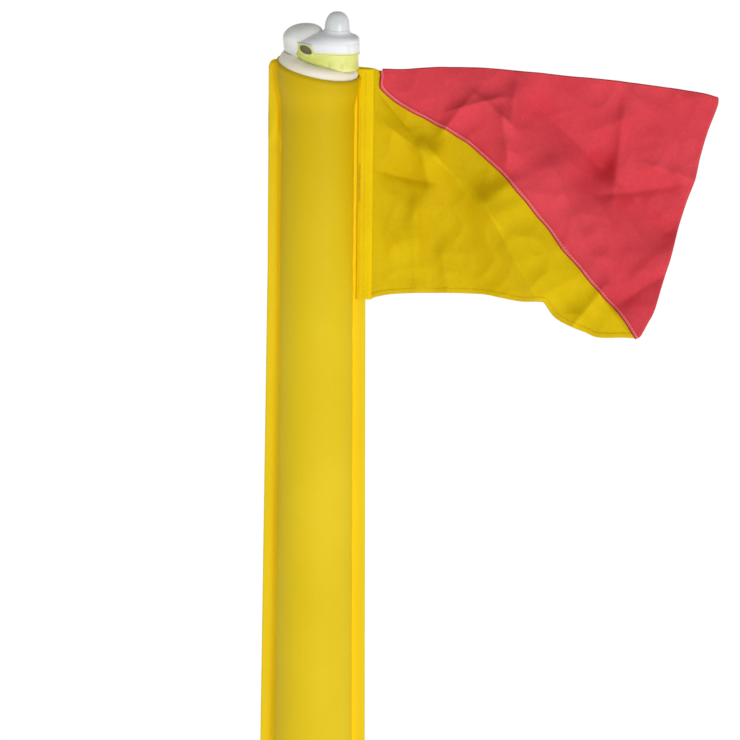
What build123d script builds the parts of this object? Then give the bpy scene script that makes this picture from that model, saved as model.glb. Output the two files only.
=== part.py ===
"""Inflatable marker pole with a two-colour flag and an automatic lamp.

Two coated sheets are welded along both edges into an air-filled column. A soft end cap closes
the top and carries the lamp, the flag is sewn to one welded edge, and a gas inflator, a mouth
valve and a weighted foot are fitted lower down.

Frame: origin at the centre of the foot's flat underside, +Z up the column, +X towards the
fly of the flag, -Y towards the side that carries the inflator. Sizes are in millimetres.
"""

import os
from math import cos, radians, sin, tan

from build123d import *

os.makedirs("parts", exist_ok=True)

# ---------------------------------------------------------------- driving dimensions
COLUMN_FOOT = 64.0  # lower end of the two column sheets
COLUMN_TOP = 1790.0  # centre of the rim that the end cap is welded to
SHEET = 1.0  # coated fabric
GAP = 0.3  # clearance between pieces that only lie beside each other
FIT = 0.05  # radial clearance of pieces that turn or slide in each other

# height, radius of the round part, width of the welded edge outside it
SECTIONS = [
    (COLUMN_FOOT, 48.0, 15.5),
    (1560.0, 36.5, 13.0),
    (1748.0, 36.5, 12.7),
    (1776.0, 40.6, 8.5),
    (1806.0, 41.0, 8.0),
]

CAP_TILT_SIDE = 11.0  # the top rim falls this far towards the flag, in degrees
CAP_TILT_FRONT = 8.0
LAMP_TILT_SIDE = 2.0
LAMP_TILT_FRONT = 3.0

INFLATOR_HEIGHT = 330.0  # where the inflator's stem leaves the column
MOUTH_VALVE_HEIGHT = 560.0
EYELET_HEIGHT = 92.0
EYELET_INSET = 7.5  # from the outside of the welded edge


def column_radius(height):
    """Outer radius of the column's straight lower part at a height."""
    (low, low_radius, _), (high, high_radius, _) = SECTIONS[:2]
    return low_radius + (high_radius - low_radius) * (height - low) / (high - low)


def welded_edge_reach(height):
    """Distance from the column's axis to the outside of its lower welded edges."""
    (low, low_radius, low_edge), (high, high_radius, high_edge) = SECTIONS[:2]
    share = (height - low) / (high - low)
    return low_radius + low_edge + (high_radius + high_edge - low_radius - low_edge) * share


def tilted_plane(side, front):
    """A plane through the column's top, falling towards +X and towards -Y."""
    return Plane(
        origin=(0, 0, COLUMN_TOP),
        x_dir=(1, 0, -tan(radians(side))),
        z_dir=(tan(radians(side)), -tan(radians(front)), 1),
    )


def save(part, name):
    """Labels a finished piece and writes it as one STEP file."""
    part.label = name
    export_step(part, f"parts/{name}.step")


CAP_PLANE = tilted_plane(CAP_TILT_SIDE, CAP_TILT_FRONT)
LAMP_PLANE = tilted_plane(LAMP_TILT_SIDE, LAMP_TILT_FRONT)
EYELETS = [
    (side * (welded_edge_reach(EYELET_HEIGHT) - EYELET_INSET), EYELET_HEIGHT) for side in (-1, 1)
]
EYELET_CUT = 4.9  # radius of the hole punched for an eyelet


# ---------------------------------------------------------------- column
def outline_between(inner_line, outer_line):
    """Makes a face between two chains of points that run the same way."""
    with BuildSketch() as strip:
        with BuildLine():
            Polyline(*inner_line, *reversed(outer_line), inner_line[0])
        make_face()
    return strip.sketch


def column_sheet(side):
    """One of the two sheets, from the foot to the tilted rim of the end cap."""
    wall_inside = [(radius - SHEET, height) for height, radius, _ in SECTIONS]
    wall_outside = [(radius, height) for height, radius, _ in SECTIONS]
    edge_outside = [(radius + edge, height) for height, radius, edge in SECTIONS]
    with BuildPart() as sheet:
        with BuildSketch(Plane.XZ):
            add(outline_between(wall_inside, wall_outside))
        revolve(axis=Axis.Z, revolution_arc=180 * side)
        for weld in (-1, 1):
            with BuildSketch(Plane.XZ):
                add(
                    outline_between(
                        [(weld * (x - 0.02), z) for x, z in wall_outside],
                        [(weld * x, z) for x, z in edge_outside],
                    )
                )
            extrude(amount=-side * SHEET)
        split(bisect_by=CAP_PLANE, keep=Keep.BOTTOM)
        with BuildSketch(Plane.XZ.offset(-2 * SHEET)):
            with Locations(*EYELETS):
                Circle(EYELET_CUT)
        extrude(amount=4 * SHEET, mode=Mode.SUBTRACT)
    return sheet.part


PASSAGE_RADIUS = 6.4
with BuildPart() as column_front_sheet:
    add(column_sheet(-1))
    for passage_height in (INFLATOR_HEIGHT, MOUTH_VALVE_HEIGHT):
        with BuildSketch(Plane.XZ.offset(column_radius(passage_height) - 10)):
            with Locations((0, passage_height)):
                Circle(PASSAGE_RADIUS)
        extrude(amount=20, mode=Mode.SUBTRACT)
save(column_front_sheet.part, "column_front_sheet")

with BuildPart() as column_back_sheet:
    add(column_sheet(1))
save(column_back_sheet.part, "column_back_sheet")

with BuildPart() as bottom_cap:
    with BuildSketch(Plane.XY.offset(COLUMN_FOOT + 0.2)):
        Circle(SECTIONS[0][1] - SHEET - GAP)
    extrude(amount=1.6)
save(bottom_cap.part, "bottom_cap")

# ---------------------------------------------------------------- end cap
CAP_RADIUS = 40.7
CAP_SHOULDER = (33.5, 8.0)  # radius and height where the rounded edge turns flat
CAP_HEIGHT = 9.4
CAP_WALL = 1.2
CAP_AXIS = Axis(CAP_PLANE.origin, CAP_PLANE.z_dir)
CAP_SECTION = Plane(origin=CAP_PLANE.origin, x_dir=CAP_PLANE.x_dir, z_dir=-CAP_PLANE.y_dir)


def pillow_curve(inset):
    """Points of the swollen cap's outline: rim, bulge of the rounded edge, shoulder, crown."""
    rim = (CAP_RADIUS - inset, 0)
    bulge = (rim[0] - 1.5, 4.6 - inset / 2)
    shoulder = (CAP_SHOULDER[0] - inset, CAP_SHOULDER[1] - inset)
    return rim, bulge, shoulder, (0, CAP_HEIGHT - inset)


with BuildPart() as top_cap:
    with BuildSketch(CAP_SECTION):
        with BuildLine():
            outer = pillow_curve(0)
            inner = pillow_curve(CAP_WALL)
            ThreePointArc(*outer[:3])
            TangentArc(outer[3], outer[2], tangent=(1, 0))
            Line(outer[3], inner[3])
            TangentArc(inner[3], inner[2], tangent=(1, 0))
            ThreePointArc(*inner[:3])
            Line(inner[0], outer[0])
        make_face()
    revolve(axis=CAP_AXIS)
save(top_cap.part, "top_cap")

with BuildPart() as cap_space:  # what the end cap fills, with its clearance
    with BuildSketch(CAP_SECTION):
        with BuildLine():
            swollen = pillow_curve(-GAP)
            ThreePointArc(*swollen[:3])
            TangentArc(swollen[3], swollen[2], tangent=(1, 0))
            Polyline(swollen[3], (0, -30), (CAP_RADIUS + GAP, -30), swollen[0])
        make_face()
    revolve(axis=CAP_AXIS)

# ---------------------------------------------------------------- flag
# Fold lines of the loose cloth in plan, as distance from the pole's axis and depth.
HOIST_EDGE = 51.4  # where the loose cloth begins, clear of the tape
FLAG_CLOTH = 1.2
HEAD_FOLDS = [(HOIST_EDGE, 0), (110, -5), (190, 4), (290, -4), (406, 3)]
FOOT_FOLDS = [
    (HOIST_EDGE, 0), (86, 14), (135, 26), (186, 14), (232, -24), (272, -38), (328, -22),
]
# Outline seen square on, from the head of the hoist round to its foot.
HEAD_EDGE = [(HOIST_EDGE, 1790), (120, 1791), (200, 1788), (280, 1782), (399, 1764)]
FLY_EDGE = [(399, 1764), (385, 1706), (369, 1648), (345, 1571), (323, 1519)]
FOOT_EDGE = [(323, 1519), (280, 1523), (238, 1543), (198, 1556), (130, 1565), (HOIST_EDGE, 1558)]
SEAM = [(63.5, 1777), (84, 1755), (122, 1733), (176, 1695), (229, 1634), (287, 1563), (323, 1519)]
FLAG_DEPTH = 80.0  # half of the space that the folds may take


def folded_strip(folds):
    """A thin wavy strip in plan, one cloth thick."""
    front = [(x, y - FLAG_CLOTH / 2) for x, y in folds]
    back = [(x, y + FLAG_CLOTH / 2) for x, y in reversed(folds)]
    with BuildSketch() as strip:
        with BuildLine():
            Spline(*front)
            Line(front[-1], back[0])
            Spline(*back)
            Line(back[-1], front[0])
        make_face()
    return strip.sketch


with BuildPart() as flag_cloth:
    with BuildSketch(Plane.XY.offset(FOOT_EDGE[0][1] - 4)):
        add(folded_strip(FOOT_FOLDS))
    with BuildSketch(Plane.XY.offset(HEAD_EDGE[0][1] + 4)):
        add(folded_strip(HEAD_FOLDS))
    loft(ruled=True)
    with BuildSketch(Plane.XZ.offset(-FLAG_DEPTH)):
        with BuildLine():
            Spline(*HEAD_EDGE)
            Spline(*FLY_EDGE)
            Spline(*FOOT_EDGE)
            Line(FOOT_EDGE[-1], HEAD_EDGE[0])
        make_face()
    extrude(amount=2 * FLAG_DEPTH, mode=Mode.INTERSECT)

with BuildPart() as red_side:  # everything above and beyond the diagonal seam
    with BuildSketch(Plane.XZ.offset(-FLAG_DEPTH)):
        with BuildLine():
            Line((SEAM[0][0], 1830), SEAM[0])
            Spline(*SEAM)
            Polyline(SEAM[-1], (330, 1500), (440, 1500), (440, 1830), (SEAM[0][0], 1830))
        make_face()
    extrude(amount=2 * FLAG_DEPTH)

with BuildPart() as flag_red_panel:
    add(flag_cloth.part)
    add(red_side.part, mode=Mode.INTERSECT)
save(flag_red_panel.part, "flag_red_panel")

with BuildPart() as flag_yellow_panel:
    add(flag_cloth.part)
    add(red_side.part, mode=Mode.SUBTRACT)
save(flag_yellow_panel.part, "flag_yellow_panel")

# The tape is folded round the welded edge and sewn through it.
TAPE = 0.8
TAPE_START = 38.5  # inner edge of the tape, clear of the round part
TAPE_HEAD = 1742.0
TAPE_FOOT = 1562.0
with BuildPart() as flag_hoist_tape:
    with BuildSketch(Plane.XY.offset(TAPE_FOOT)):
        with Locations((TAPE_START, 0)):
            Rectangle(
                HOIST_EDGE - GAP - TAPE_START,
                2 * (SHEET + GAP / 3 + TAPE),
                align=(Align.MIN, Align.CENTER),
            )
            Rectangle(
                HOIST_EDGE - GAP - TAPE_START - TAPE,
                2 * (SHEET + GAP / 3),
                align=(Align.MIN, Align.CENTER),
                mode=Mode.SUBTRACT,
            )
    extrude(amount=TAPE_HEAD - TAPE_FOOT)
save(flag_hoist_tape.part, "flag_hoist_tape")

# ---------------------------------------------------------------- lamp
# Places are measured in the lamp's own tilted plane.
LAMP_WALL = 1.6
BASE_CENTRE = (8.5, -8.0)
BASE_SIZE = (62.0, 44.0)
BASE_TOP = 27.0
COVER_CENTRE = (17.5, -8.0)
COVER_SIZE = (44.0, 37.0)
COVER_TOP = 36.0
LENS_CENTRE = (17.2, -8.0)
LENS_RADIUS = 12.4
LENS_TOP = 58.5
POD_CENTRE = (-15.9, 3.0)
POD_RADIUS = 20.4
POD_FLOOR = 17.0
POD_TOP = 43.0

with BuildPart() as pod_space:  # the battery pod's outside, with its clearance
    with BuildSketch(LAMP_PLANE):
        with Locations(POD_CENTRE):
            Circle(POD_RADIUS + GAP)
    extrude(amount=POD_TOP + GAP)

with BuildPart() as lamp_base:
    with BuildSketch(LAMP_PLANE):
        with Locations(BASE_CENTRE):
            RectangleRounded(*BASE_SIZE, radius=17)
    extrude(amount=BASE_TOP)
    fillet(lamp_base.edges().group_by(Axis.Z)[-1], 2.5)
    with BuildSketch(LAMP_PLANE.offset(BASE_TOP - LAMP_WALL)):
        with Locations(BASE_CENTRE):
            RectangleRounded(BASE_SIZE[0] - 5, BASE_SIZE[1] - 5, radius=14.5)
    extrude(amount=-BASE_TOP, mode=Mode.SUBTRACT)
    add(cap_space.part, mode=Mode.SUBTRACT)
    add(pod_space.part, mode=Mode.SUBTRACT)
    # oval water inlet at the left end of the front wall
    with BuildSketch(Plane(LAMP_PLANE.origin, LAMP_PLANE.x_dir, -LAMP_PLANE.y_dir).offset(20)):
        with Locations((-12.0, 21.5)):
            Ellipse(4.2, 3.4)
    extrude(amount=20, mode=Mode.SUBTRACT)
save(lamp_base.part, "lamp_base")

with BuildPart() as lamp_cover:
    with BuildSketch(LAMP_PLANE.offset(BASE_TOP)):
        with Locations(COVER_CENTRE):
            RectangleRounded(*COVER_SIZE, radius=13)
    extrude(amount=COVER_TOP - BASE_TOP)
    fillet(lamp_cover.edges().group_by(Axis.Z)[-1], 4)
    with BuildSketch(LAMP_PLANE.offset(COVER_TOP - LAMP_WALL)):
        with Locations(COVER_CENTRE):
            RectangleRounded(COVER_SIZE[0] - 7, COVER_SIZE[1] - 7, radius=9.5)
    extrude(amount=-COVER_TOP, mode=Mode.SUBTRACT)
    with BuildSketch(LAMP_PLANE.offset(COVER_TOP + 1)):
        with Locations(LENS_CENTRE):
            Circle(LENS_RADIUS + 1.1)
    extrude(amount=-6, mode=Mode.SUBTRACT)
    add(pod_space.part, mode=Mode.SUBTRACT)
save(lamp_cover.part, "lamp_cover")

LENS_SECTION = Plane(
    LAMP_PLANE.from_local_coords((*LENS_CENTRE, 0)), LAMP_PLANE.x_dir, -LAMP_PLANE.y_dir
)
LENS_AXIS = Axis(LENS_SECTION.origin, LAMP_PLANE.z_dir)
LENS_FOOT = 30.0
with BuildPart() as lamp_lens:
    for inset, line_mode in ((0, Mode.ADD), (LAMP_WALL, Mode.SUBTRACT)):
        lens_radius = LENS_RADIUS - inset
        with BuildSketch(LENS_SECTION):
            with BuildLine():
                Polyline(
                    (0, LENS_FOOT), (lens_radius, LENS_FOOT), (lens_radius, LENS_TOP - LENS_RADIUS)
                )
                RadiusArc((lens_radius, LENS_TOP - LENS_RADIUS), (0, LENS_TOP - inset), -lens_radius)
                Line((0, LENS_TOP - inset), (0, LENS_FOOT))
            make_face()
        revolve(axis=LENS_AXIS, mode=line_mode)
    with BuildSketch(LAMP_PLANE.offset(LENS_FOOT)):
        with Locations(LENS_CENTRE):
            Circle(LENS_RADIUS + 1.6)
            Circle(LENS_RADIUS - LAMP_WALL, mode=Mode.SUBTRACT)
    extrude(amount=2)
save(lamp_lens.part, "lamp_lens")

with BuildPart() as lens_seal:
    with BuildSketch(LAMP_PLANE.offset(LENS_FOOT + 2 + 0.2)):
        with Locations(LENS_CENTRE):
            Circle(LENS_RADIUS + 1.0)
            Circle(LENS_RADIUS + 0.1, mode=Mode.SUBTRACT)
    extrude(amount=COVER_TOP - LENS_FOOT - 3)
save(lens_seal.part, "lens_seal")

BOARD_LEVEL = 27.4
with BuildPart() as lamp_board:
    with BuildSketch(LAMP_PLANE.offset(BOARD_LEVEL)):
        with Locations(LENS_CENTRE):
            RectangleRounded(24, 20, radius=3)
    extrude(amount=1.6)
save(lamp_board.part, "lamp_board")

with BuildPart() as lamp_diode:
    with BuildSketch(LAMP_PLANE.offset(BOARD_LEVEL + 1.6)):
        with Locations(LENS_CENTRE):
            Circle(4)
    extrude(amount=6)
    fillet(lamp_diode.edges().group_by(Axis.Z)[-1], 3.6)
save(lamp_diode.part, "lamp_diode")

with BuildPart() as water_contacts:
    with BuildSketch(LAMP_PLANE.offset(BASE_TOP - LAMP_WALL)):
        with Locations((1, -20), (6, -20)):
            Circle(0.9)
    extrude(amount=-9)
save(water_contacts.part, "water_contacts")

with BuildPart() as battery_pod:
    with BuildSketch(LAMP_PLANE):
        with Locations(POD_CENTRE):
            Circle(POD_RADIUS)
    extrude(amount=POD_TOP)
    fillet(battery_pod.edges().group_by(Axis.Z)[-1], 12)
    with BuildSketch(LAMP_PLANE.offset(POD_FLOOR)):
        with Locations(POD_CENTRE):
            Circle(10.2)
    extrude(amount=20, mode=Mode.SUBTRACT)
    add(cap_space.part, mode=Mode.SUBTRACT)
save(battery_pod.part, "battery_pod")

with BuildPart() as battery_cell:
    with BuildSketch(LAMP_PLANE.offset(POD_FLOOR + GAP)):
        with Locations(POD_CENTRE):
            Circle(9.9)
    extrude(amount=17)
    with BuildSketch(LAMP_PLANE.offset(POD_FLOOR + GAP + 17)):
        with Locations(POD_CENTRE):
            Circle(3.2)
    extrude(amount=1.4)
save(battery_cell.part, "battery_cell")

# ---------------------------------------------------------------- foot
FOOT_RADIUS = 62.0
FOOT_BASE = 6.0
POCKET_RADIUS = 48.0
POCKET_CLOTH = 1.4
BOOT_TOP = 42.0
BOOT_WALL = 4.2
DISC_RADIUS = 44.0
DISC_HEIGHT = 11.0
DISC_COUNT = 3
BOLT_RADIUS = 5.0

with BuildPart() as foot_boot:
    with BuildSketch(Plane.XZ):
        with BuildLine():
            outside = Polyline((0, 0), (FOOT_RADIUS - 2, 0))
            RadiusArc((FOOT_RADIUS - 2, 0), (FOOT_RADIUS, 2), -2)
            Line((FOOT_RADIUS, 2), (FOOT_RADIUS, 5))
            RadiusArc((FOOT_RADIUS, 5), (POCKET_RADIUS + GAP + BOOT_WALL, 14), 11)
            Polyline(
                (POCKET_RADIUS + GAP + BOOT_WALL, 14),
                (POCKET_RADIUS + GAP + BOOT_WALL, BOOT_TOP - 1.5),
                (POCKET_RADIUS + GAP + BOOT_WALL - 1.5, BOOT_TOP),
                (POCKET_RADIUS + GAP, BOOT_TOP),
                (POCKET_RADIUS + GAP, FOOT_BASE),
                (0, FOOT_BASE),
                (0, 0),
            )
        make_face()
    revolve(axis=Axis.Z)
save(foot_boot.part, "foot_boot")

with BuildPart() as ballast_pocket:
    with BuildSketch(Plane.XY.offset(FOOT_BASE + GAP)):
        Circle(POCKET_RADIUS)
        Circle(POCKET_RADIUS - POCKET_CLOTH, mode=Mode.SUBTRACT)
    extrude(amount=COLUMN_FOOT - FOOT_BASE - 2 * GAP)
save(ballast_pocket.part, "ballast_pocket")

with BuildPart() as ballast_discs:
    for level in range(DISC_COUNT):
        with BuildSketch(Plane.XY.offset(FOOT_BASE + GAP + level * (DISC_HEIGHT + 0.2))):
            Circle(DISC_RADIUS)
            Circle(BOLT_RADIUS + 0.3, mode=Mode.SUBTRACT)
        extrude(amount=DISC_HEIGHT)
    with BuildSketch(Plane.XY):
        Circle(12)
    extrude(amount=FOOT_BASE + GAP + 5, mode=Mode.SUBTRACT)
save(ballast_discs.part, "ballast_discs")

STACK_TOP = FOOT_BASE + GAP + DISC_COUNT * (DISC_HEIGHT + 0.2)
with BuildPart() as ballast_bolt:
    with BuildSketch(Plane.XY.offset(FOOT_BASE + 2 * GAP)):
        Circle(10.5)
    extrude(amount=4.4)
    chamfer(ballast_bolt.edges().group_by(Axis.Z)[0], 2)
    with BuildSketch(Plane.XY.offset(FOOT_BASE + 2 * GAP)):
        Circle(BOLT_RADIUS)
    extrude(amount=STACK_TOP + 11 - FOOT_BASE)
save(ballast_bolt.part, "ballast_bolt")

with BuildPart() as ballast_nut:
    with BuildSketch(Plane.XY.offset(STACK_TOP)):
        Circle(10.5)
        Circle(BOLT_RADIUS + FIT, mode=Mode.SUBTRACT)
    extrude(amount=1.5)
    with BuildSketch(Plane.XY.offset(STACK_TOP + 1.5)):
        RegularPolygon(8.5, 6, major_radius=False)
        Circle(BOLT_RADIUS + FIT, mode=Mode.SUBTRACT)
    extrude(amount=8)
save(ballast_nut.part, "ballast_nut")

BAND_LEVEL = 24.0
BAND_WIDTH = 9.0
BAND_INNER = POCKET_RADIUS + GAP + BOOT_WALL + 0.05
with BuildPart() as foot_clamp_band:
    with BuildSketch(Plane.XY.offset(BAND_LEVEL)):
        Circle(BAND_INNER + 0.9)
        Circle(BAND_INNER, mode=Mode.SUBTRACT)
    extrude(amount=BAND_WIDTH)
    with BuildSketch(Plane.XZ.offset(BAND_INNER + 0.4)):
        with Locations((0, BAND_LEVEL + BAND_WIDTH / 2)):
            RectangleRounded(15, BAND_WIDTH + 3, radius=1.5)
    extrude(amount=7)
    with BuildSketch(Plane.YZ.offset(-12)):
        with Locations((-(BAND_INNER + 4.2), BAND_LEVEL + BAND_WIDTH / 2)):
            Circle(2.7 + FIT)
    extrude(amount=24, mode=Mode.SUBTRACT)
save(foot_clamp_band.part, "foot_clamp_band")

with BuildPart() as clamp_screw:
    with BuildSketch(Plane.YZ.offset(-8)):
        with Locations((-(BAND_INNER + 4.2), BAND_LEVEL + BAND_WIDTH / 2)):
            Circle(2.7)
    extrude(amount=15.8)
    with BuildSketch(Plane.YZ.offset(7.8)):
        with Locations((-(BAND_INNER + 4.2), BAND_LEVEL + BAND_WIDTH / 2)):
            RegularPolygon(3.1, 6, major_radius=False)
    extrude(amount=4)
    with BuildSketch(Plane.YZ.offset(11.8)):
        with Locations((-(BAND_INNER + 4.2), BAND_LEVEL + BAND_WIDTH / 2)):
            Rectangle(1, 5)
    extrude(amount=-1.5, mode=Mode.SUBTRACT)
save(clamp_screw.part, "clamp_screw")

EYELET_BORE = 4.0
with BuildPart() as edge_eyelets:
    with BuildSketch(Plane.XZ.offset(-2.2)):
        with Locations(*EYELETS):
            Circle(EYELET_CUT - FIT)
    extrude(amount=4.4)
    for face_level in (-2.2, SHEET + 0.1):
        with BuildSketch(Plane.XZ.offset(face_level)):
            with Locations(*EYELETS):
                Circle(6.9)
        extrude(amount=1.1)
    with BuildSketch(Plane.XZ.offset(-3)):
        with Locations(*EYELETS):
            Circle(EYELET_BORE)
    extrude(amount=6, mode=Mode.SUBTRACT)
save(edge_eyelets.part, "edge_eyelets")


# ---------------------------------------------------------------- welded fittings
def curved_patch(height, radius):
    """A round patch that lies on the column's front with the gas passage through it."""
    inner = column_radius(height) + GAP
    with BuildPart() as patch:
        with BuildSketch(Plane.XZ):
            with Locations((0, height)):
                Circle(radius)
                Circle(PASSAGE_RADIUS, mode=Mode.SUBTRACT)
        extrude(amount=inner + 5)
        with BuildSketch(Plane.XY.offset(height - radius)):
            Circle(inner + 1)
            Circle(inner, mode=Mode.SUBTRACT)
        extrude(amount=2 * radius, mode=Mode.INTERSECT)
    return patch.part


def saddle(height, radius, rise, bore):
    """A moulded block, curved inside to sit on its patch and flat on its outer face."""
    inner = column_radius(height) + GAP + 1.2
    with BuildPart() as block:
        with BuildSketch(Plane.XZ.offset(column_radius(height) + rise)):
            with Locations((0, height)):
                Circle(radius)
                Circle(bore, mode=Mode.SUBTRACT)
        extrude(amount=-rise - radius / 2)
        chamfer(block.faces().sort_by(Axis.Y)[0].outer_wire().edges(), 1.5)
        with BuildSketch(Plane.XY.offset(height - radius - 1)):
            Circle(inner)
        extrude(amount=2 * radius + 2, mode=Mode.SUBTRACT)
    return block.part


# ---------------------------------------------------------------- inflator
SKIN = column_radius(INFLATOR_HEIGHT)  # everything outside it is measured from the column
STEM_RADIUS = 6.0
SADDLE_RISE = 8.0
BODY_BACK = SKIN + 12.6
BODY_DEPTH = 26.0
BODY_FRONT = BODY_BACK + BODY_DEPTH
BODY_MIDDLE = BODY_BACK + BODY_DEPTH / 2
BODY_LEFT = -19.0
BODY_RIGHT = 33.0
BODY_FOOT = INFLATOR_HEIGHT - 18
BODY_TOP = INFLATOR_HEIGHT + 22
PIN_X = 20.0  # the firing pin stands over the gas cylinder
BOBBIN_X = -9.0
CAM_RADIUS = 6.0
CAM_OFFSET = 2.4
LEVER_TURN = 90.0
PIN_TRAVEL = 2 * CAM_OFFSET * sin(radians(LEVER_TURN / 2))
PIVOT_HEIGHT = BODY_TOP + 4
SLOT = 8.0  # between the two ears that hold the lever
NECK_RADIUS = 6.3
NECK_TOP = BODY_FOOT + 13

with BuildPart() as valve_patch:
    add(curved_patch(INFLATOR_HEIGHT, 27))
save(valve_patch.part, "valve_patch")

with BuildPart() as valve_saddle:
    add(saddle(INFLATOR_HEIGHT, 19, SADDLE_RISE, STEM_RADIUS + FIT))
save(valve_saddle.part, "valve_saddle")

with BuildPart() as inflator_stem:
    with BuildSketch(Plane.XZ.offset(SKIN - 6)):
        with Locations((0, INFLATOR_HEIGHT)):
            Circle(STEM_RADIUS)
    extrude(amount=BODY_FRONT + 8 - SKIN + 6)
    with BuildSketch(Plane.XZ.offset(SKIN + SADDLE_RISE + 0.1)):
        with Locations((0, INFLATOR_HEIGHT)):
            RegularPolygon(8.5, 6, major_radius=False)
    extrude(amount=2.8)
    with BuildSketch(Plane.XZ.offset(SKIN - 7)):
        with Locations((0, INFLATOR_HEIGHT)):
            Circle(2.5)
    extrude(amount=BODY_MIDDLE - SKIN + 10, mode=Mode.SUBTRACT)
    with BuildSketch(Plane.YZ.offset(-STEM_RADIUS - 1)):
        with Locations((-BODY_MIDDLE, INFLATOR_HEIGHT)):
            Circle(1.5)
    extrude(amount=2 * STEM_RADIUS + 2, mode=Mode.SUBTRACT)
save(inflator_stem.part, "inflator_stem")

for washer_name, washer_level in (
    ("inner_washer", BODY_BACK - 1.6),
    ("outer_washer", BODY_FRONT + 0.1),
):
    with BuildPart() as washer:
        with BuildSketch(Plane.XZ.offset(washer_level)):
            with Locations((0, INFLATOR_HEIGHT)):
                Circle(9)
                Circle(STEM_RADIUS + FIT, mode=Mode.SUBTRACT)
        extrude(amount=1.5)
    save(washer.part, washer_name)

with BuildPart() as cap_nut:
    with BuildSketch(Plane.XZ.offset(BODY_FRONT + 1.7)):
        with Locations((0, INFLATOR_HEIGHT)):
            RegularPolygon(9.5, 6, major_radius=False)
    extrude(amount=8)
    chamfer(cap_nut.faces().sort_by(Axis.Y)[0].edges(), 1)
    with BuildSketch(Plane.XZ.offset(BODY_FRONT + 9.7)):
        with Locations((0, INFLATOR_HEIGHT)):
            Circle(7.5)
    extrude(amount=3.5)
    fillet(cap_nut.faces().sort_by(Axis.Y)[0].edges(), 2.8)
    with BuildSketch(Plane.XZ.offset(BODY_FRONT + 1)):
        with Locations((0, INFLATOR_HEIGHT)):
            Circle(STEM_RADIUS + FIT)
    extrude(amount=7.6, mode=Mode.SUBTRACT)
save(cap_nut.part, "cap_nut")

with BuildPart() as inflator_body:
    with BuildSketch(Plane.XY.offset(BODY_FOOT)):
        with Locations(((BODY_LEFT + BODY_RIGHT) / 2, -BODY_MIDDLE)):
            RectangleRounded(BODY_RIGHT - BODY_LEFT, BODY_DEPTH, radius=6)
    extrude(amount=BODY_TOP - BODY_FOOT)
    chamfer(inflator_body.edges().group_by(Axis.Z)[-1], 1.5)
    # two ears for the lever's pin
    with BuildSketch(Plane.XZ.offset(BODY_MIDDLE - 10)):
        with Locations((PIN_X, BODY_TOP)):
            Rectangle(15, 8)
        with Locations((PIN_X, PIVOT_HEIGHT)):
            Circle(7.5)
    extrude(amount=20)
    with BuildSketch(Plane.XZ.offset(BODY_MIDDLE - SLOT / 2)):
        with Locations((PIN_X, BODY_TOP + 10)):
            Rectangle(40, 28.8)
    extrude(amount=SLOT, mode=Mode.SUBTRACT)
    with BuildSketch(Plane.XZ.offset(BODY_BACK - 1)):
        with Locations((PIN_X, PIVOT_HEIGHT)):
            Circle(1.6)
    extrude(amount=BODY_DEPTH + 2, mode=Mode.SUBTRACT)
    # stem, firing pin, cylinder neck and bobbin openings
    with BuildSketch(Plane.XZ.offset(BODY_BACK - 1)):
        with Locations((0, INFLATOR_HEIGHT)):
            Circle(STEM_RADIUS + FIT)
    extrude(amount=BODY_DEPTH + 2, mode=Mode.SUBTRACT)
    with BuildSketch(Plane.XY.offset(BODY_FOOT - 1)):
        with Locations((PIN_X, -BODY_MIDDLE)):
            Circle(3.1)
    extrude(amount=BODY_TOP - BODY_FOOT + 2, mode=Mode.SUBTRACT)
    with BuildSketch(Plane.XY.offset(BODY_FOOT - 1)):
        with Locations((PIN_X, -BODY_MIDDLE)):
            Circle(NECK_RADIUS + FIT)
    extrude(amount=NECK_TOP + 1.6 - BODY_FOOT + 1, mode=Mode.SUBTRACT)
    with BuildSketch(Plane.XY.offset(BODY_FOOT - 1)):
        with Locations((BOBBIN_X, -BODY_MIDDLE)):
            Circle(6)
    extrude(amount=6, mode=Mode.SUBTRACT)
    # recess for the status clip in the front face
    with BuildSketch(Plane.XZ.offset(BODY_FRONT - 4)):
        with Locations((PIN_X + 1, INFLATOR_HEIGHT)):
            Rectangle(9, 12)
    extrude(amount=6, mode=Mode.SUBTRACT)
save(inflator_body.part, "inflator_body")

with BuildPart() as status_clip:
    with BuildSketch(Plane.XZ.offset(BODY_FRONT - 3.6)):
        with Locations((PIN_X + 1, INFLATOR_HEIGHT)):
            Rectangle(8.9, 11.9)
    extrude(amount=3.6)
    with BuildSketch(Plane.XZ.offset(BODY_FRONT)):
        with Locations((PIN_X + 1, INFLATOR_HEIGHT)):
            RectangleRounded(8.9, 11.9, radius=2)
    extrude(amount=2.2)
save(status_clip.part, "status_clip")

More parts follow.
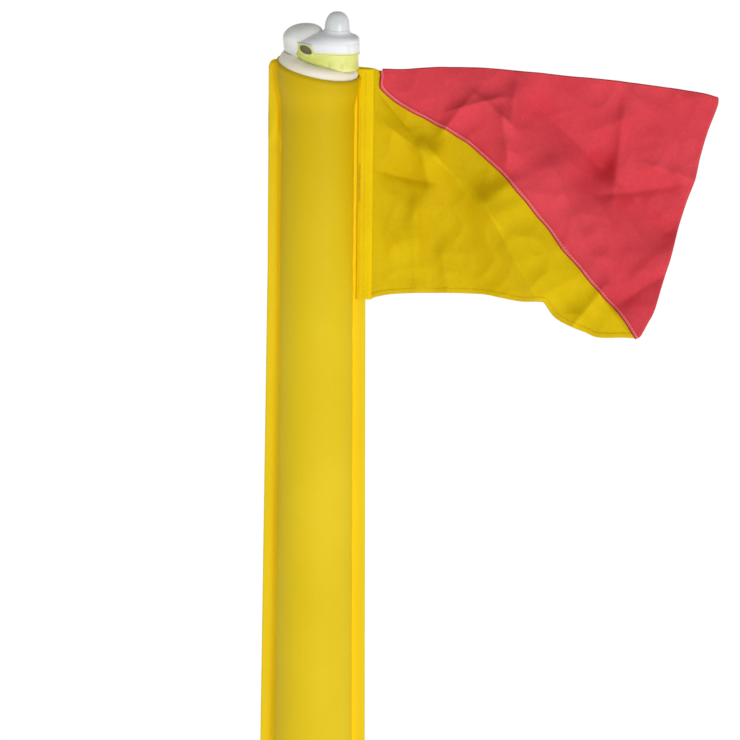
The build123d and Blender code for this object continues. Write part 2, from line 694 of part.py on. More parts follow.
REST_CAM = 135.0  # direction of the cam's centre from the pivot, in degrees
ARM_X = 42.0
ARM_FOOT = PIVOT_HEIGHT - 62
with BuildPart() as firing_lever:
    with BuildSketch(Plane.XZ.offset(BODY_MIDDLE - 3.6)):
        with Locations(
            (
                PIN_X + CAM_OFFSET * cos(radians(REST_CAM)),
                PIVOT_HEIGHT + CAM_OFFSET * sin(radians(REST_CAM)),
            )
        ):
            Circle(CAM_RADIUS)
        with BuildLine():
            Polyline(
                (PIN_X, PIVOT_HEIGHT + 1),
                (PIN_X, PIVOT_HEIGHT + 7),
                (ARM_X - 4, PIVOT_HEIGHT + 7),
                (ARM_X, PIVOT_HEIGHT + 3),
                (ARM_X, ARM_FOOT),
                (ARM_X - 5, ARM_FOOT),
                (ARM_X - 5, PIVOT_HEIGHT + 1),
                (PIN_X, PIVOT_HEIGHT + 1),
            )
        make_face()
    extrude(amount=7.2)
    with BuildSketch(Plane.XZ.offset(BODY_MIDDLE - 10)):
        with Locations((PIN_X, PIVOT_HEIGHT)):
            Circle(1.5 + FIT)
    extrude(amount=20, mode=Mode.SUBTRACT)
    with BuildSketch(Plane.YZ.offset(ARM_X - 6)):
        with Locations((-BODY_MIDDLE, ARM_FOOT + 6)):
            Circle(1.55)
    extrude(amount=8, mode=Mode.SUBTRACT)
save(firing_lever.part, "firing_lever")

with BuildPart() as lever_pin:
    with BuildSketch(Plane.XZ.offset(BODY_MIDDLE - 11)):
        with Locations((PIN_X, PIVOT_HEIGHT)):
            Circle(1.5)
    extrude(amount=22)
save(lever_pin.part, "lever_pin")

with BuildPart() as pull_tab:
    with BuildSketch(Plane.YZ.offset(ARM_X + 0.1)):
        with Locations((-BODY_MIDDLE, ARM_FOOT - 4)):
            RectangleRounded(16, 34, radius=6)
        with Locations((-BODY_MIDDLE, ARM_FOOT - 13)):
            Circle(4, mode=Mode.SUBTRACT)
        with Locations((-BODY_MIDDLE, ARM_FOOT + 6)):
            Circle(1.55, mode=Mode.SUBTRACT)
    extrude(amount=3)
save(pull_tab.part, "pull_tab")

with BuildPart() as tab_rivet:
    with BuildSketch(Plane.YZ.offset(ARM_X - 5)):
        with Locations((-BODY_MIDDLE, ARM_FOOT + 6)):
            Circle(1.5)
    extrude(amount=8.2)
    with BuildSketch(Plane.YZ.offset(ARM_X + 3.2)):
        with Locations((-BODY_MIDDLE, ARM_FOOT + 6)):
            Circle(3)
    extrude(amount=1.2)
save(tab_rivet.part, "tab_rivet")

PIN_HEAD_TOP = PIVOT_HEIGHT + PIN_TRAVEL / 2 - CAM_RADIUS - 0.2
PIN_TIP = NECK_TOP + PIN_TRAVEL + 0.4
with BuildPart() as firing_pin:
    with BuildSketch(Plane.XY.offset(PIN_HEAD_TOP - 3)):
        with Locations((PIN_X, -BODY_MIDDLE)):
            Circle(3)
    extrude(amount=3)
    with BuildSketch(Plane.XY.offset(PIN_TIP + 3)):
        with Locations((PIN_X, -BODY_MIDDLE)):
            Circle(1.5)
    extrude(amount=PIN_HEAD_TOP - PIN_TIP - 4)
    with BuildSketch(Plane.XY.offset(PIN_TIP)):
        with Locations((PIN_X, -BODY_MIDDLE)):
            Circle(0.3)
    with BuildSketch(Plane.XY.offset(PIN_TIP + 3)):
        with Locations((PIN_X, -BODY_MIDDLE)):
            Circle(1.5)
    loft()
save(firing_pin.part, "firing_pin")

with BuildPart() as pin_seat:
    with BuildSketch(Plane.XY.offset(NECK_TOP + 3.2)):
        with Locations((PIN_X, -BODY_MIDDLE)):
            Circle(3.05)
            Circle(1.5 + FIT, mode=Mode.SUBTRACT)
    extrude(amount=2)
save(pin_seat.part, "pin_seat")


def coil(foot, direction, radius, wire, height, turns):
    """A round-wire compression spring that stands on a point."""
    with BuildPart() as spring:
        with BuildLine():
            path = Helix(height / turns, height, radius, center=foot, direction=direction)
        with BuildSketch(Plane(origin=path @ 0, z_dir=path % 0)):
            Circle(wire)
        sweep(path=path)
    return spring.part


with BuildPart() as pin_spring:
    add(
        coil(
            (PIN_X, -BODY_MIDDLE, NECK_TOP + 5.7),
            (0, 0, 1),
            radius=2.3,
            wire=0.3,
            height=PIN_HEAD_TOP - 3 - NECK_TOP - 6.2,
            turns=6,
        )
    )
save(pin_spring.part, "pin_spring")

CYLINDER_RADIUS = 11.0
CYLINDER_FOOT = BODY_FOOT - 108
with BuildPart() as gas_cylinder:
    with BuildSketch(Plane(origin=(PIN_X, -BODY_MIDDLE, 0), x_dir=(1, 0, 0), z_dir=(0, -1, 0))):
        with BuildLine():
            Polyline(
                (0, CYLINDER_FOOT + 1.5),
                (3, CYLINDER_FOOT + 1.5),
                (5, CYLINDER_FOOT),
                (CYLINDER_RADIUS - 4, CYLINDER_FOOT),
            )
            RadiusArc(
                (CYLINDER_RADIUS - 4, CYLINDER_FOOT), (CYLINDER_RADIUS, CYLINDER_FOOT + 4), -4
            )
            Line((CYLINDER_RADIUS, CYLINDER_FOOT + 4), (CYLINDER_RADIUS, BODY_FOOT - 16))
            ThreePointArc(
                (CYLINDER_RADIUS, BODY_FOOT - 16),
                (CYLINDER_RADIUS - 1.4, BODY_FOOT - 9),
                (NECK_RADIUS, BODY_FOOT - 5),
            )
            Polyline(
                (NECK_RADIUS, BODY_FOOT - 5),
                (NECK_RADIUS, NECK_TOP - 1),
                (NECK_RADIUS - 1, NECK_TOP),
                (0, NECK_TOP),
                (0, CYLINDER_FOOT + 1.5),
            )
        make_face()
    revolve(axis=Axis((PIN_X, -BODY_MIDDLE, 0), (0, 0, 1)))
save(gas_cylinder.part, "gas_cylinder")

with BuildPart() as cylinder_seal:
    with BuildSketch(Plane.XY.offset(NECK_TOP + 0.3)):
        with Locations((PIN_X, -BODY_MIDDLE)):
            Circle(NECK_RADIUS)
            Circle(3.2, mode=Mode.SUBTRACT)
    extrude(amount=1.2)
save(cylinder_seal.part, "cylinder_seal")

BOBBIN_CAP_HEIGHT = 20.0
with BuildPart() as bobbin_cap:
    with BuildSketch(Plane.XY.offset(BODY_FOOT - GAP - BOBBIN_CAP_HEIGHT)):
        with Locations((BOBBIN_X, -BODY_MIDDLE)):
            Circle(9.5)
    extrude(amount=BOBBIN_CAP_HEIGHT)
    fillet(bobbin_cap.edges().group_by(Axis.Z)[0], 2)
    with BuildSketch(Plane.XY.offset(BODY_FOOT - GAP - BOBBIN_CAP_HEIGHT - 1)):
        with Locations((BOBBIN_X, -BODY_MIDDLE)):
            with PolarLocations(9.9, 16):
                Circle(0.8)
    extrude(amount=BOBBIN_CAP_HEIGHT - 2, mode=Mode.SUBTRACT)
    with BuildSketch(Plane.XY.offset(BODY_FOOT - GAP)):
        with Locations((BOBBIN_X, -BODY_MIDDLE)):
            Circle(7.2)
    extrude(amount=2 - BOBBIN_CAP_HEIGHT, mode=Mode.SUBTRACT)
    # water inlets in the cap's floor
    with BuildSketch(Plane.XY.offset(BODY_FOOT - GAP - BOBBIN_CAP_HEIGHT - 1)):
        with Locations((BOBBIN_X, -BODY_MIDDLE)):
            with PolarLocations(4.2, 4):
                Circle(1.2)
    extrude(amount=4, mode=Mode.SUBTRACT)
save(bobbin_cap.part, "bobbin_cap")

with BuildPart() as water_bobbin:
    with BuildSketch(Plane.XY.offset(BODY_FOOT - GAP - BOBBIN_CAP_HEIGHT + 2.3)):
        with Locations((BOBBIN_X, -BODY_MIDDLE)):
            Circle(6.8)
            Circle(2.4, mode=Mode.SUBTRACT)
    extrude(amount=9)
save(water_bobbin.part, "water_bobbin")

# ---------------------------------------------------------------- mouth valve
MOUTH_SKIN = column_radius(MOUTH_VALVE_HEIGHT)
MOUTH_RISE = 6.0
TUBE_LENGTH = 26.0
TUBE_RADIUS = 8.0
TUBE_BORE = 5.5
with BuildPart() as mouth_patch:
    add(curved_patch(MOUTH_VALVE_HEIGHT, 22))
save(mouth_patch.part, "mouth_patch")

with BuildPart() as mouth_saddle:
    add(saddle(MOUTH_VALVE_HEIGHT, 15, MOUTH_RISE, TUBE_BORE))
save(mouth_saddle.part, "mouth_saddle")

TUBE_BACK = MOUTH_SKIN + MOUTH_RISE + 0.1
TUBE_FRONT = TUBE_BACK + TUBE_LENGTH
SEAT_LEVEL = TUBE_FRONT - 9
with BuildPart() as mouth_tube:
    with BuildSketch(Plane.XZ.offset(TUBE_BACK)):
        with Locations((0, MOUTH_VALVE_HEIGHT)):
            Circle(TUBE_RADIUS)
            Circle(TUBE_BORE, mode=Mode.SUBTRACT)
    extrude(amount=TUBE_LENGTH)
    with BuildSketch(Plane.XZ.offset(TUBE_FRONT - 14)):
        with Locations((0, MOUTH_VALVE_HEIGHT)):
            Circle(TUBE_RADIUS + 1)
            Circle(TUBE_BORE, mode=Mode.SUBTRACT)
    extrude(amount=1.5)
    # the seat that the poppet closes against, from inside
    with BuildSketch(Plane.XZ.offset(SEAT_LEVEL)):
        with Locations((0, MOUTH_VALVE_HEIGHT)):
            Circle(TUBE_BORE)
            Circle(3.5, mode=Mode.SUBTRACT)
    extrude(amount=1.5)
save(mouth_tube.part, "mouth_tube")

POPPET_TRAVEL = 4.0
with BuildPart() as valve_poppet:
    with BuildSketch(Plane.XZ.offset(SEAT_LEVEL - 2.5)):
        with Locations((0, MOUTH_VALVE_HEIGHT)):
            Circle(5)
    extrude(amount=2.4)
    with BuildSketch(Plane.XZ.offset(SEAT_LEVEL - 0.5)):
        with Locations((0, MOUTH_VALVE_HEIGHT)):
            Circle(1.6)
    extrude(amount=8)
    with BuildSketch(Plane.XZ.offset(SEAT_LEVEL + 6)):
        with Locations((0, MOUTH_VALVE_HEIGHT)):
            Rectangle(8, 2)
            Rectangle(2, 8)
    extrude(amount=1.5)
save(valve_poppet.part, "valve_poppet")

with BuildPart() as poppet_spring:
    add(
        coil(
            (0, -TUBE_BACK - 0.5, MOUTH_VALVE_HEIGHT),
            (0, -1, 0),
            radius=4.5,
            wire=0.35,
            height=SEAT_LEVEL - 3.6 - TUBE_BACK,
            turns=5,
        )
    )
save(poppet_spring.part, "poppet_spring")

with BuildPart() as spring_ring:
    with BuildSketch(Plane.XZ.offset(TUBE_BACK - 1.2)):
        with Locations((0, MOUTH_VALVE_HEIGHT)):
            Circle(TUBE_BORE - 0.1)
            Circle(3.2, mode=Mode.SUBTRACT)
    extrude(amount=1.1)
save(spring_ring.part, "spring_ring")

with BuildPart() as dust_cap:
    with BuildSketch(Plane.XZ.offset(TUBE_FRONT - 10)):
        with Locations((0, MOUTH_VALVE_HEIGHT)):
            Circle(TUBE_RADIUS + 1.8)
    extrude(amount=12.5)
    fillet(dust_cap.faces().sort_by(Axis.Y)[0].edges(), 1.5)
    with BuildSketch(Plane.XZ.offset(TUBE_FRONT - 11)):
        with Locations((0, MOUTH_VALVE_HEIGHT)):
            Circle(TUBE_RADIUS + GAP)
    extrude(amount=11 + GAP, mode=Mode.SUBTRACT)
    # finger lug to pull the cap off
    with BuildSketch(Plane.XZ.offset(TUBE_FRONT - 4)):
        with Locations((0, MOUTH_VALVE_HEIGHT + TUBE_RADIUS + 4.5)):
            RectangleRounded(7, 8, radius=2)
    extrude(amount=3)
save(dust_cap.part, "dust_cap")
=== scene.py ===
from math import atan2, cos, exp, hypot, pi, radians, sin, sqrt, tan

import bmesh
import bpy
from mathutils import Matrix, Vector, noise


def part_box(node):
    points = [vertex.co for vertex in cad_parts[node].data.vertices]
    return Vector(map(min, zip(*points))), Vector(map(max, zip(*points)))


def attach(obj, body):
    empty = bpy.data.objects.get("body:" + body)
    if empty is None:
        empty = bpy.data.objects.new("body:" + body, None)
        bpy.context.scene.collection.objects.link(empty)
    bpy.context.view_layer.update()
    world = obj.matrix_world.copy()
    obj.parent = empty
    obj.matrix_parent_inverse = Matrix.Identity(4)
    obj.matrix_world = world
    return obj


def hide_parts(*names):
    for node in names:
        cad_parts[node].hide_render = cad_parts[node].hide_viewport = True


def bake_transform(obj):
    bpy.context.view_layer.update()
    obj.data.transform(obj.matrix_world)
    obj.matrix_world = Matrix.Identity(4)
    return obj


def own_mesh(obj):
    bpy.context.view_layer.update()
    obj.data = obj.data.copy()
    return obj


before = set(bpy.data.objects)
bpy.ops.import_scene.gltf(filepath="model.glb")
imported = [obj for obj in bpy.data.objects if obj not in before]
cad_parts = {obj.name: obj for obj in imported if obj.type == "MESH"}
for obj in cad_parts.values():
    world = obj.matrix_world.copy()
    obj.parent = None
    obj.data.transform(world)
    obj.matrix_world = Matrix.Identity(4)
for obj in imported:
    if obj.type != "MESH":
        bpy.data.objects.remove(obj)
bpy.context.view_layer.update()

# ------------------------------------------------------------------ column
# Two sheets of coated fabric, welded together along both long edges and blown up with gas into
# a round column. The welds stand out as flat edges, a little wavy, and the sheets pucker
# beside them. Both sheets open out at the head, where the end cap is welded in.
COLUMN_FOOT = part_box("column_front_sheet")[0].z
RIM_CENTRE = 1.790  # height of the rim on the column's axis
RIM_FALL_SIDE = tan(radians(11))  # the rim falls towards the flag
RIM_FALL_FRONT = tan(radians(8))
STRAIGHT_TOP = 1.560
NECK = 1.748  # where the column begins to open out for its cap
SHEET_THICKNESS = 0.0009
WELD_CORNER = 0.009  # rounding of the welded edge at its head
FOOT_RADIUS, HEAD_RADIUS, RIM_RADIUS = 0.0480, 0.0365, 0.0408  # of the round wall
FOOT_REACH, HEAD_REACH, LEAST_REACH = 0.0635, 0.0495, 0.0492  # of the welded edges, from the axis


class Shade:
    """A socket on a material's nodes. Arithmetic on it adds Math nodes."""

    def __init__(self, tree, socket=None):
        self.tree = tree
        self.socket = socket

    def node(self, kind, settings=None, sockets=None, output=0):
        """Adds a node: first its settings, then the values or links of its sockets."""
        made = self.tree.nodes.new("ShaderNode" + kind)
        for name, value in (settings or {}).items():
            setattr(made, name, value)
        for name, value in (sockets or {}).items():
            if isinstance(value, Shade):
                self.tree.links.new(value.socket, made.inputs[name])
            else:
                made.inputs[name].default_value = value
        return Shade(self.tree, made.outputs[output] if made.outputs else None)

    def math(self, operation, *values):
        """One Math node on sockets or numbers."""
        return self.node("Math", {"operation": operation}, dict(enumerate(values)))

    def __add__(self, other):
        return self.math("ADD", self, other)

    __radd__ = __add__

    def __sub__(self, other):
        return self.math("SUBTRACT", self, other)

    def __rsub__(self, other):
        return self.math("SUBTRACT", other, self)

    def __mul__(self, other):
        return self.math("MULTIPLY", self, other)

    def between(self, low, high):
        """0 below low, 1 above high, and a soft step between them."""
        settings = {"interpolation_type": "SMOOTHSTEP"}
        return self.node("MapRange", settings, {"Value": self, "From Min": low, "From Max": high})

    def blend(self, first, second):
        """A colour that goes from first to second as this value goes from 0 to 1."""
        return self.node("Mix", {"data_type": "RGBA"}, {0: self, 6: first, 7: second}, output=2)

    def place(self):
        """The place on the object, in metres."""
        return self.node("TexCoord", output=3)

    def part(self, place, axis):
        """One of the three parts of a place."""
        return self.node("SeparateXYZ", None, {0: place}, output=axis)

    def speckle(self, place, scale, detail, **more):
        """Noise over the place."""
        return self.node("TexNoise", None, {"Vector": place, "Scale": scale, "Detail": detail, **more})

    def painted(self, name):
        """A value that the shape's points carry."""
        return self.node("Attribute", {"attribute_name": name}, output=2)


def new_material(name):
    """An empty node material and the Shade that its nodes are made from."""
    material = bpy.data.materials.new(name)
    material.use_nodes = True
    material.node_tree.nodes.clear()
    return material, Shade(material.node_tree)


def surface(shade, height, depth, **sockets):
    """Ends a material: a bump of the given depth in metres, the shader and the output."""
    if height is not None:
        bump = shade.node("Bump", None, {"Height": height, "Strength": 1.0, "Distance": depth})
        sockets["Normal"] = bump
    names = {name.replace("_", " "): value for name, value in sockets.items()}
    shader = shade.node("BsdfPrincipled", None, names)
    shade.node("OutputMaterial", None, {"Surface": shader})


def colour(red, green, blue):
    """A shader colour from the 0 to 255 values that a paint chart gives."""
    return tuple((value / 255) ** 2.2 for value in (red, green, blue)) + (1.0,)


def make_piece(name, shape, material):
    """Turns a bmesh into a named, smooth object of one material."""
    for face in shape.faces:
        face.smooth = True
    mesh = bpy.data.meshes.new(name)
    shape.to_mesh(mesh)
    shape.free()
    made = bpy.data.objects.new(name, mesh)
    bpy.context.scene.collection.objects.link(made)
    mesh.materials.append(material)
    return made


def flat_grid(across, down, size=0.5):
    """A square grid to bend into a sheet. size is half its side."""
    shape = bmesh.new()
    bmesh.ops.create_grid(shape, x_segments=across, y_segments=down, size=size)
    return shape


def outward(shape):
    """Turns all faces to the outside."""
    bmesh.ops.recalc_face_normals(shape, faces=shape.faces)


def solid_from(piece, thickness, offset=0.0):
    """Gives a sheet its thickness."""
    wall = piece.modifiers.new("wall", "SOLIDIFY")
    wall.thickness = thickness
    wall.offset = offset


def smoothly(share):
    """A soft step from 0 to 1."""
    share = min(max(share, 0.0), 1.0)
    return share * share * (3 - 2 * share)


def bell(distance, width):
    """1 at no distance, falling away over the width."""
    return exp(-((distance / width) ** 2))


def wander(x, y, z):
    """Smooth noise between about -1 and 1."""
    return noise.noise(Vector((x, y, z)))


def tube_radius(height):
    """Outer radius of the round part of the column."""
    share = (height - COLUMN_FOOT) / (STRAIGHT_TOP - COLUMN_FOOT)
    straight = max(FOOT_RADIUS + (HEAD_RADIUS - FOOT_RADIUS) * share, HEAD_RADIUS)
    return straight + (RIM_RADIUS - straight) * smoothly((height - NECK) / 0.030)


def weld_reach(height):
    """Distance from the axis to the outside of the welded edge."""
    share = (height - COLUMN_FOOT) / (STRAIGHT_TOP - COLUMN_FOOT)
    return max(FOOT_REACH + (HEAD_REACH - FOOT_REACH) * share, LEAST_REACH)


def rim_height(x, y):
    """Height of the tilted rim over a point of the plan."""
    return RIM_CENTRE - x * RIM_FALL_SIDE + y * RIM_FALL_FRONT


def weld_waves(side, height):
    """How far a welded edge bends to the front or back, at its outside."""
    drift = wander(side * 3.1, 0.4, height * 9) * 0.0022
    ripple = wander(side * 1.7, 2.6, height * 38) * 0.0007
    return drift + ripple


ROUND_SHARE = 0.80  # the part of the grid's width that the round wall takes
CREASE_HEIGHT = 1.711  # the left edge is folded over here where the cap's weld pulls it


def column_point(across, up, side):
    """Where a point of the flat sheet lies on the blown-up column. side is -1 in front."""
    height = COLUMN_FOOT + up * (RIM_CENTRE - COLUMN_FOOT)
    radius = tube_radius(height)
    reach = weld_reach(height)
    edge = 1 if across > 0 else -1
    if abs(across) <= ROUND_SHARE:
        angle = across / ROUND_SHARE * pi / 2
        near_weld = smoothly((abs(across) / ROUND_SHARE - 0.72) / 0.28)
        pucker = wander(edge * 5 + side, height * 55, abs(across) * 3) * 0.0011
        soft = wander(across * 1.6, side * 4, height * 7) * 0.0005
        pull = bell(height - CREASE_HEIGHT, 0.006) * (0.0016 if edge < 0 else 0)
        wall = radius - near_weld * (abs(pucker) + pull) + soft * (1 - near_weld)
        x = wall * sin(angle)
        y = side * (wall * cos(angle) + SHEET_THICKNESS / 2)
    else:
        out = (abs(across) - ROUND_SHARE) / (1 - ROUND_SHARE)
        x = edge * (radius + (reach - radius) * out)
        bent = weld_waves(edge, height) * out
        if edge < 0:
            bent -= 0.0030 * bell(height - CREASE_HEIGHT - 0.024, 0.016) * sin(pi * out)
            bent += 0.0014 * bell(height - CREASE_HEIGHT, 0.004)
        y = side * SHEET_THICKNESS / 2 + bent * smoothly(out * 3)
    top = rim_height(x, y)
    corner = abs(x) - (weld_reach(RIM_CENTRE) - WELD_CORNER)
    if corner > 0:
        top -= WELD_CORNER - sqrt(max(WELD_CORNER**2 - corner**2, 0.0))
    z = height + (top - RIM_CENTRE) * smoothly((height - NECK) / (RIM_CENTRE - NECK))
    return Vector((x, y, z))


yellow_coat, coat = new_material("yellow_coated_fabric")
place = coat.place()
flow = coat.node("UVMap", {"uv_map": "cloth"})
threads = coat.part(flow, 0)
warp = threads.math("SINE", threads * (2 * pi / 0.0009))
weft_line = coat.part(flow, 1)
weft = weft_line.math("SINE", weft_line * (2 * pi / 0.0009))
weave = warp * weft
weld = coat.painted("weld")
crease = coat.painted("crease")
blotches = coat.speckle(place, 9.0, 5.0)
fine = coat.speckle(place, 420.0, 3.0)
scuffs = coat.speckle(place, 60.0, 6.0, Roughness=0.7)
height = coat.part(place, 2)
tint = blotches.between(0.25, 0.80).blend(colour(219, 189, 22), colour(227, 197, 34))
tint = height.between(1.47, 1.80).blend(tint, colour(205, 172, 6))  # painted shade: the coat is darker towards the head, standing in for light that falls off upwards
tint = (weld * 0.60).blend(tint, colour(240, 206, 16))
# painted light: the crease beside each weld is a brighter, deeper yellow, lifting the shade that falls
# there
tint = (crease * 0.85).blend(tint, colour(255, 210, 0))
tint = (scuffs.between(0.66, 0.80) * 0.22).blend(tint, colour(196, 166, 30))
knurl = threads.math("SINE", (threads + weft_line) * (2 * pi / 0.0026))
knurl = knurl * threads.math("SINE", (threads - weft_line) * (2 * pi / 0.0026))
relief = weave * (1.0 - weld) * 0.25 + knurl * weld * 0.6 + fine * 0.5
surface(
    coat, relief, 0.00010, Base_Color=tint, Roughness=0.46 + scuffs * 0.20, Specular_IOR_Level=0.14
)


EYELET_OUT = 0.05574  # the two eyelets in the welded edges, from the axis and above the floor
EYELET_HEIGHT = 0.092
EYELET_HOLE = 0.0049
EYELET_GAP = (0.078, 0.0095)  # half size of the gap in the flat grid that the hole's edge is joined to


def flat_place(x, height):
    """Where a point of the welded edge lies on the flat sheet."""
    radius = tube_radius(height)
    out = (abs(x) - radius) / (weld_reach(height) - radius)
    across = ROUND_SHARE + (1 - ROUND_SHARE) * out
    up = 2 * (height - COLUMN_FOOT) / (RIM_CENTRE - COLUMN_FOOT) - 1
    return Vector((across if x > 0 else -across, up, 0))


def punch_eyelet(shape, x):
    """Cuts the hole for one eyelet in the flat sheet, with a round edge."""
    middle = flat_place(x, EYELET_HEIGHT)
    near = [
        face for face in shape.faces
        if abs(face.calc_center_median().x - middle.x) < EYELET_GAP[0]
        and abs(face.calc_center_median().y - middle.y) < EYELET_GAP[1]
    ]
    touched = {edge for face in near for edge in face.edges}
    border = [edge for edge in touched if any(face not in near for face in edge.link_faces)]
    bmesh.ops.delete(shape, geom=near, context="FACES")
    ring = bmesh.ops.create_circle(shape, segments=32, radius=EYELET_HOLE)["verts"]
    for vert in ring:
        vert.co = flat_place(x + vert.co.x, EYELET_HEIGHT + vert.co.y)
    circle = {edge for vert in ring for edge in vert.link_edges}
    bmesh.ops.bridge_loops(shape, edges=border + list(circle))


def column_sheet(name, side):
    """Makes one of the two sheets."""
    shape = flat_grid(64, 330, 1)
    for x in (-EYELET_OUT, EYELET_OUT):
        punch_eyelet(shape, x)
    weld_layer = shape.verts.layers.float.new("weld")
    crease_layer = shape.verts.layers.float.new("crease")
    cloth = shape.loops.layers.uv.new("cloth")
    for vert in shape.verts:
        vert[weld_layer] = smoothly((abs(vert.co.x) - ROUND_SHARE) / 0.02 + 0.5)
        # mask of the painted light in the crease beside each weld
        vert[crease_layer] = bell(abs(vert.co.x) - ROUND_SHARE, 0.075)
    for face in shape.faces:
        for loop in face.loops:
            flat = loop.vert.co
            loop[cloth].uv = (flat.x * 0.088, flat.y * (RIM_CENTRE - COLUMN_FOOT) / 2)
    for vert in shape.verts:
        vert.co = column_point(vert.co.x, (vert.co.y + 1) / 2, side)
    outward(shape)
    made = make_piece(name, shape, yellow_coat)
    solid_from(made, SHEET_THICKNESS)
    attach(made, "pole")
    return made


column_front = column_sheet("column_front", -1)
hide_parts("column_front_sheet")
column_back = column_sheet("column_back", 1)
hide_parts("column_back_sheet")

# ------------------------------------------------------------------ end cap
# A round of off-white coated fabric, welded into the column's head. Gas inside swells it into
# a low cushion with a rounded edge, and the column's own edge is pressed against it.
CAP_RADIUS = 0.0404
CAP_SHOULDER = 0.0335
CAP_RISE = 0.0094


def tilted_place(fall_side, fall_front):
    """A placement at the rim's middle that falls to the right and to the front."""
    up = Vector((fall_side, -fall_front, 1)).normalized()
    side = Vector((1, 0, -fall_side)).normalized()
    turn = Matrix((side, up.cross(side), up)).transposed().to_4x4()
    return Matrix.Translation((0, 0, RIM_CENTRE)) @ turn


white_coat, coat = new_material("off_white_coated_fabric")
place = coat.place()
blotches = coat.speckle(place, 30.0, 4.0)
fine = coat.speckle(place, 900.0, 2.0)
tint = blotches.between(0.3, 0.7).blend(colour(246, 238, 212), colour(252, 246, 226))
surface(coat, fine, 0.00006, Base_Color=tint, Roughness=0.45 + blotches * 0.2)


def spun(points, turns):
    """A round shape from its outline, given as radius and height pairs."""
    shape = bmesh.new()
    chain = [shape.verts.new((radius, 0, height)) for radius, height in points]
    for first, second in zip(chain, chain[1:]):
        shape.edges.new((first, second))
    line = shape.verts[:] + shape.edges[:]
    bmesh.ops.spin(
        shape, geom=line, cent=(0, 0, 0), axis=(0, 0, 1), angle=2 * pi, steps=turns, use_merge=True
    )
    bmesh.ops.remove_doubles(shape, verts=shape.verts, dist=1e-6)
    outward(shape)
    return shape


def curve_through(points, share):
    """A point on the smooth line through the points, share from 0 at the first to 1."""
    points = [Vector(point) for point in points]
    reach = min(max(share, 0.0), 1.0) * (len(points) - 1)
    index = min(int(reach), len(points) - 2)
    part = reach - index
    before = points[index - 1] if index else points[0] * 2 - points[1]
    start, end = points[index], points[index + 1]
    after = points[index + 2] if index + 2 < len(points) else end * 2 - start
    return 0.5 * (
        start * 2
        + (end - before) * part
        + (before * 2 - start * 5 + end * 4 - after) * part**2
        + (start * 3 - before - end * 3 + after) * part**3
    )


def lathed(outline, steps, turns=96):
    """A round shape from the smooth line through its outline."""
    return spun([curve_through(outline, step / steps) for step in range(steps + 1)], turns)


def cap_swell(x, y):
    """How much higher the cap stands where the lamp doesn't press it down, at its left and back."""
    free = smoothly((0.45 * y - x) / 0.050)
    return 0.0052 * free * (1 - min(hypot(x, y) / CAP_RADIUS, 1.0) ** 6)


cap_outline = [
    (CAP_RADIUS, -0.0030),
    (CAP_RADIUS, 0.0005),
    (CAP_RADIUS - 0.0008, 0.0030),
    (CAP_RADIUS - 0.0028, 0.0060),
    (CAP_SHOULDER + 0.0006, 0.0080),
    (CAP_SHOULDER - 0.009, CAP_RISE - 0.0004),
    (0.0, CAP_RISE),
]
shape = lathed(cap_outline, 40)
for vert in shape.verts:
    turn = atan2(vert.co.y, vert.co.x)
    outer = smoothly(hypot(vert.co.x, vert.co.y) / CAP_RADIUS)
    wrinkle = wander(3 * cos(turn), 3 * sin(turn), vert.co.z * 90)
    vert.co.z += 0.0008 * wrinkle * outer + cap_swell(vert.co.x, vert.co.y)
shape.transform(tilted_place(RIM_FALL_SIDE, RIM_FALL_FRONT))
cap = make_piece("end_cap", shape, white_coat)
solid_from(cap, 0.001, -1)
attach(cap, "pole")
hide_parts("top_cap")

# ------------------------------------------------------------------ flag
# Two pieces of nylon, yellow at the hoist and red at the fly, joined by a felled seam from the
# upper hoist to the lower fly. The outer edges are hemmed, and the cloth hangs in loose folds.
HEAD_EDGE = [
    (0.0406, 1.7914), (0.0616, 1.7886), (0.0815, 1.7888), (0.1213, 1.7913), (0.1611, 1.7907),
    (0.2210, 1.7864), (0.2809, 1.7818), (0.3409, 1.7744), (0.3809, 1.7682), (0.3986, 1.7636),
]
FLY_EDGE = [
    (0.3986, 1.7636), (0.3976, 1.7548), (0.3890, 1.7305), (0.3827, 1.7062), (0.3779, 1.6819),
    (0.3698, 1.6574), (0.3600, 1.6206), (0.3536, 1.5960), (0.3462, 1.5714), (0.3388, 1.5466),
    (0.3325, 1.5342), (0.3260, 1.5218), (0.3228, 1.5187),
]
FOOT_EDGE = [
    (0.0406, 1.5550), (0.0512, 1.5558), (0.0642, 1.5599), (0.0844, 1.5627), (0.1247, 1.5639),
    (0.1650, 1.5631), (0.1852, 1.5594), (0.2054, 1.5555), (0.2216, 1.5551), (0.2287, 1.5539),
    (0.2339, 1.5472), (0.2390, 1.5405), (0.2462, 1.5350), (0.2585, 1.5289), (0.2707, 1.5244),
    (0.2809, 1.5199), (0.2930, 1.5190), (0.3072, 1.5195), (0.3228, 1.5187),
]
SEAM_LINE = [
    (0.0640, 1.7724), (0.0690, 1.7662), (0.0819, 1.7562), (0.1020, 1.7450), (0.1221, 1.7345),
    (0.1423, 1.7235), (0.1625, 1.7077), (0.1829, 1.6887), (0.2034, 1.6656), (0.2239, 1.6405),
    (0.2445, 1.6142), (0.2652, 1.5890), (0.2859, 1.5650), (0.3066, 1.5432), (0.3228, 1.5187),
]
FLAG_HEAD = 1.790
FLAG_FOOT = 1.520
HANG_SLOPE = tan(radians(12))  # cloth that swings to the back also hangs a little lower
CREASE_STRENGTH = 1.2
CREASE_FALL = 1.15  # 1 for a sharp ridge, 2 for a round one
CREASE_FADE = 0.016  # a crease dies away over this length past its ends
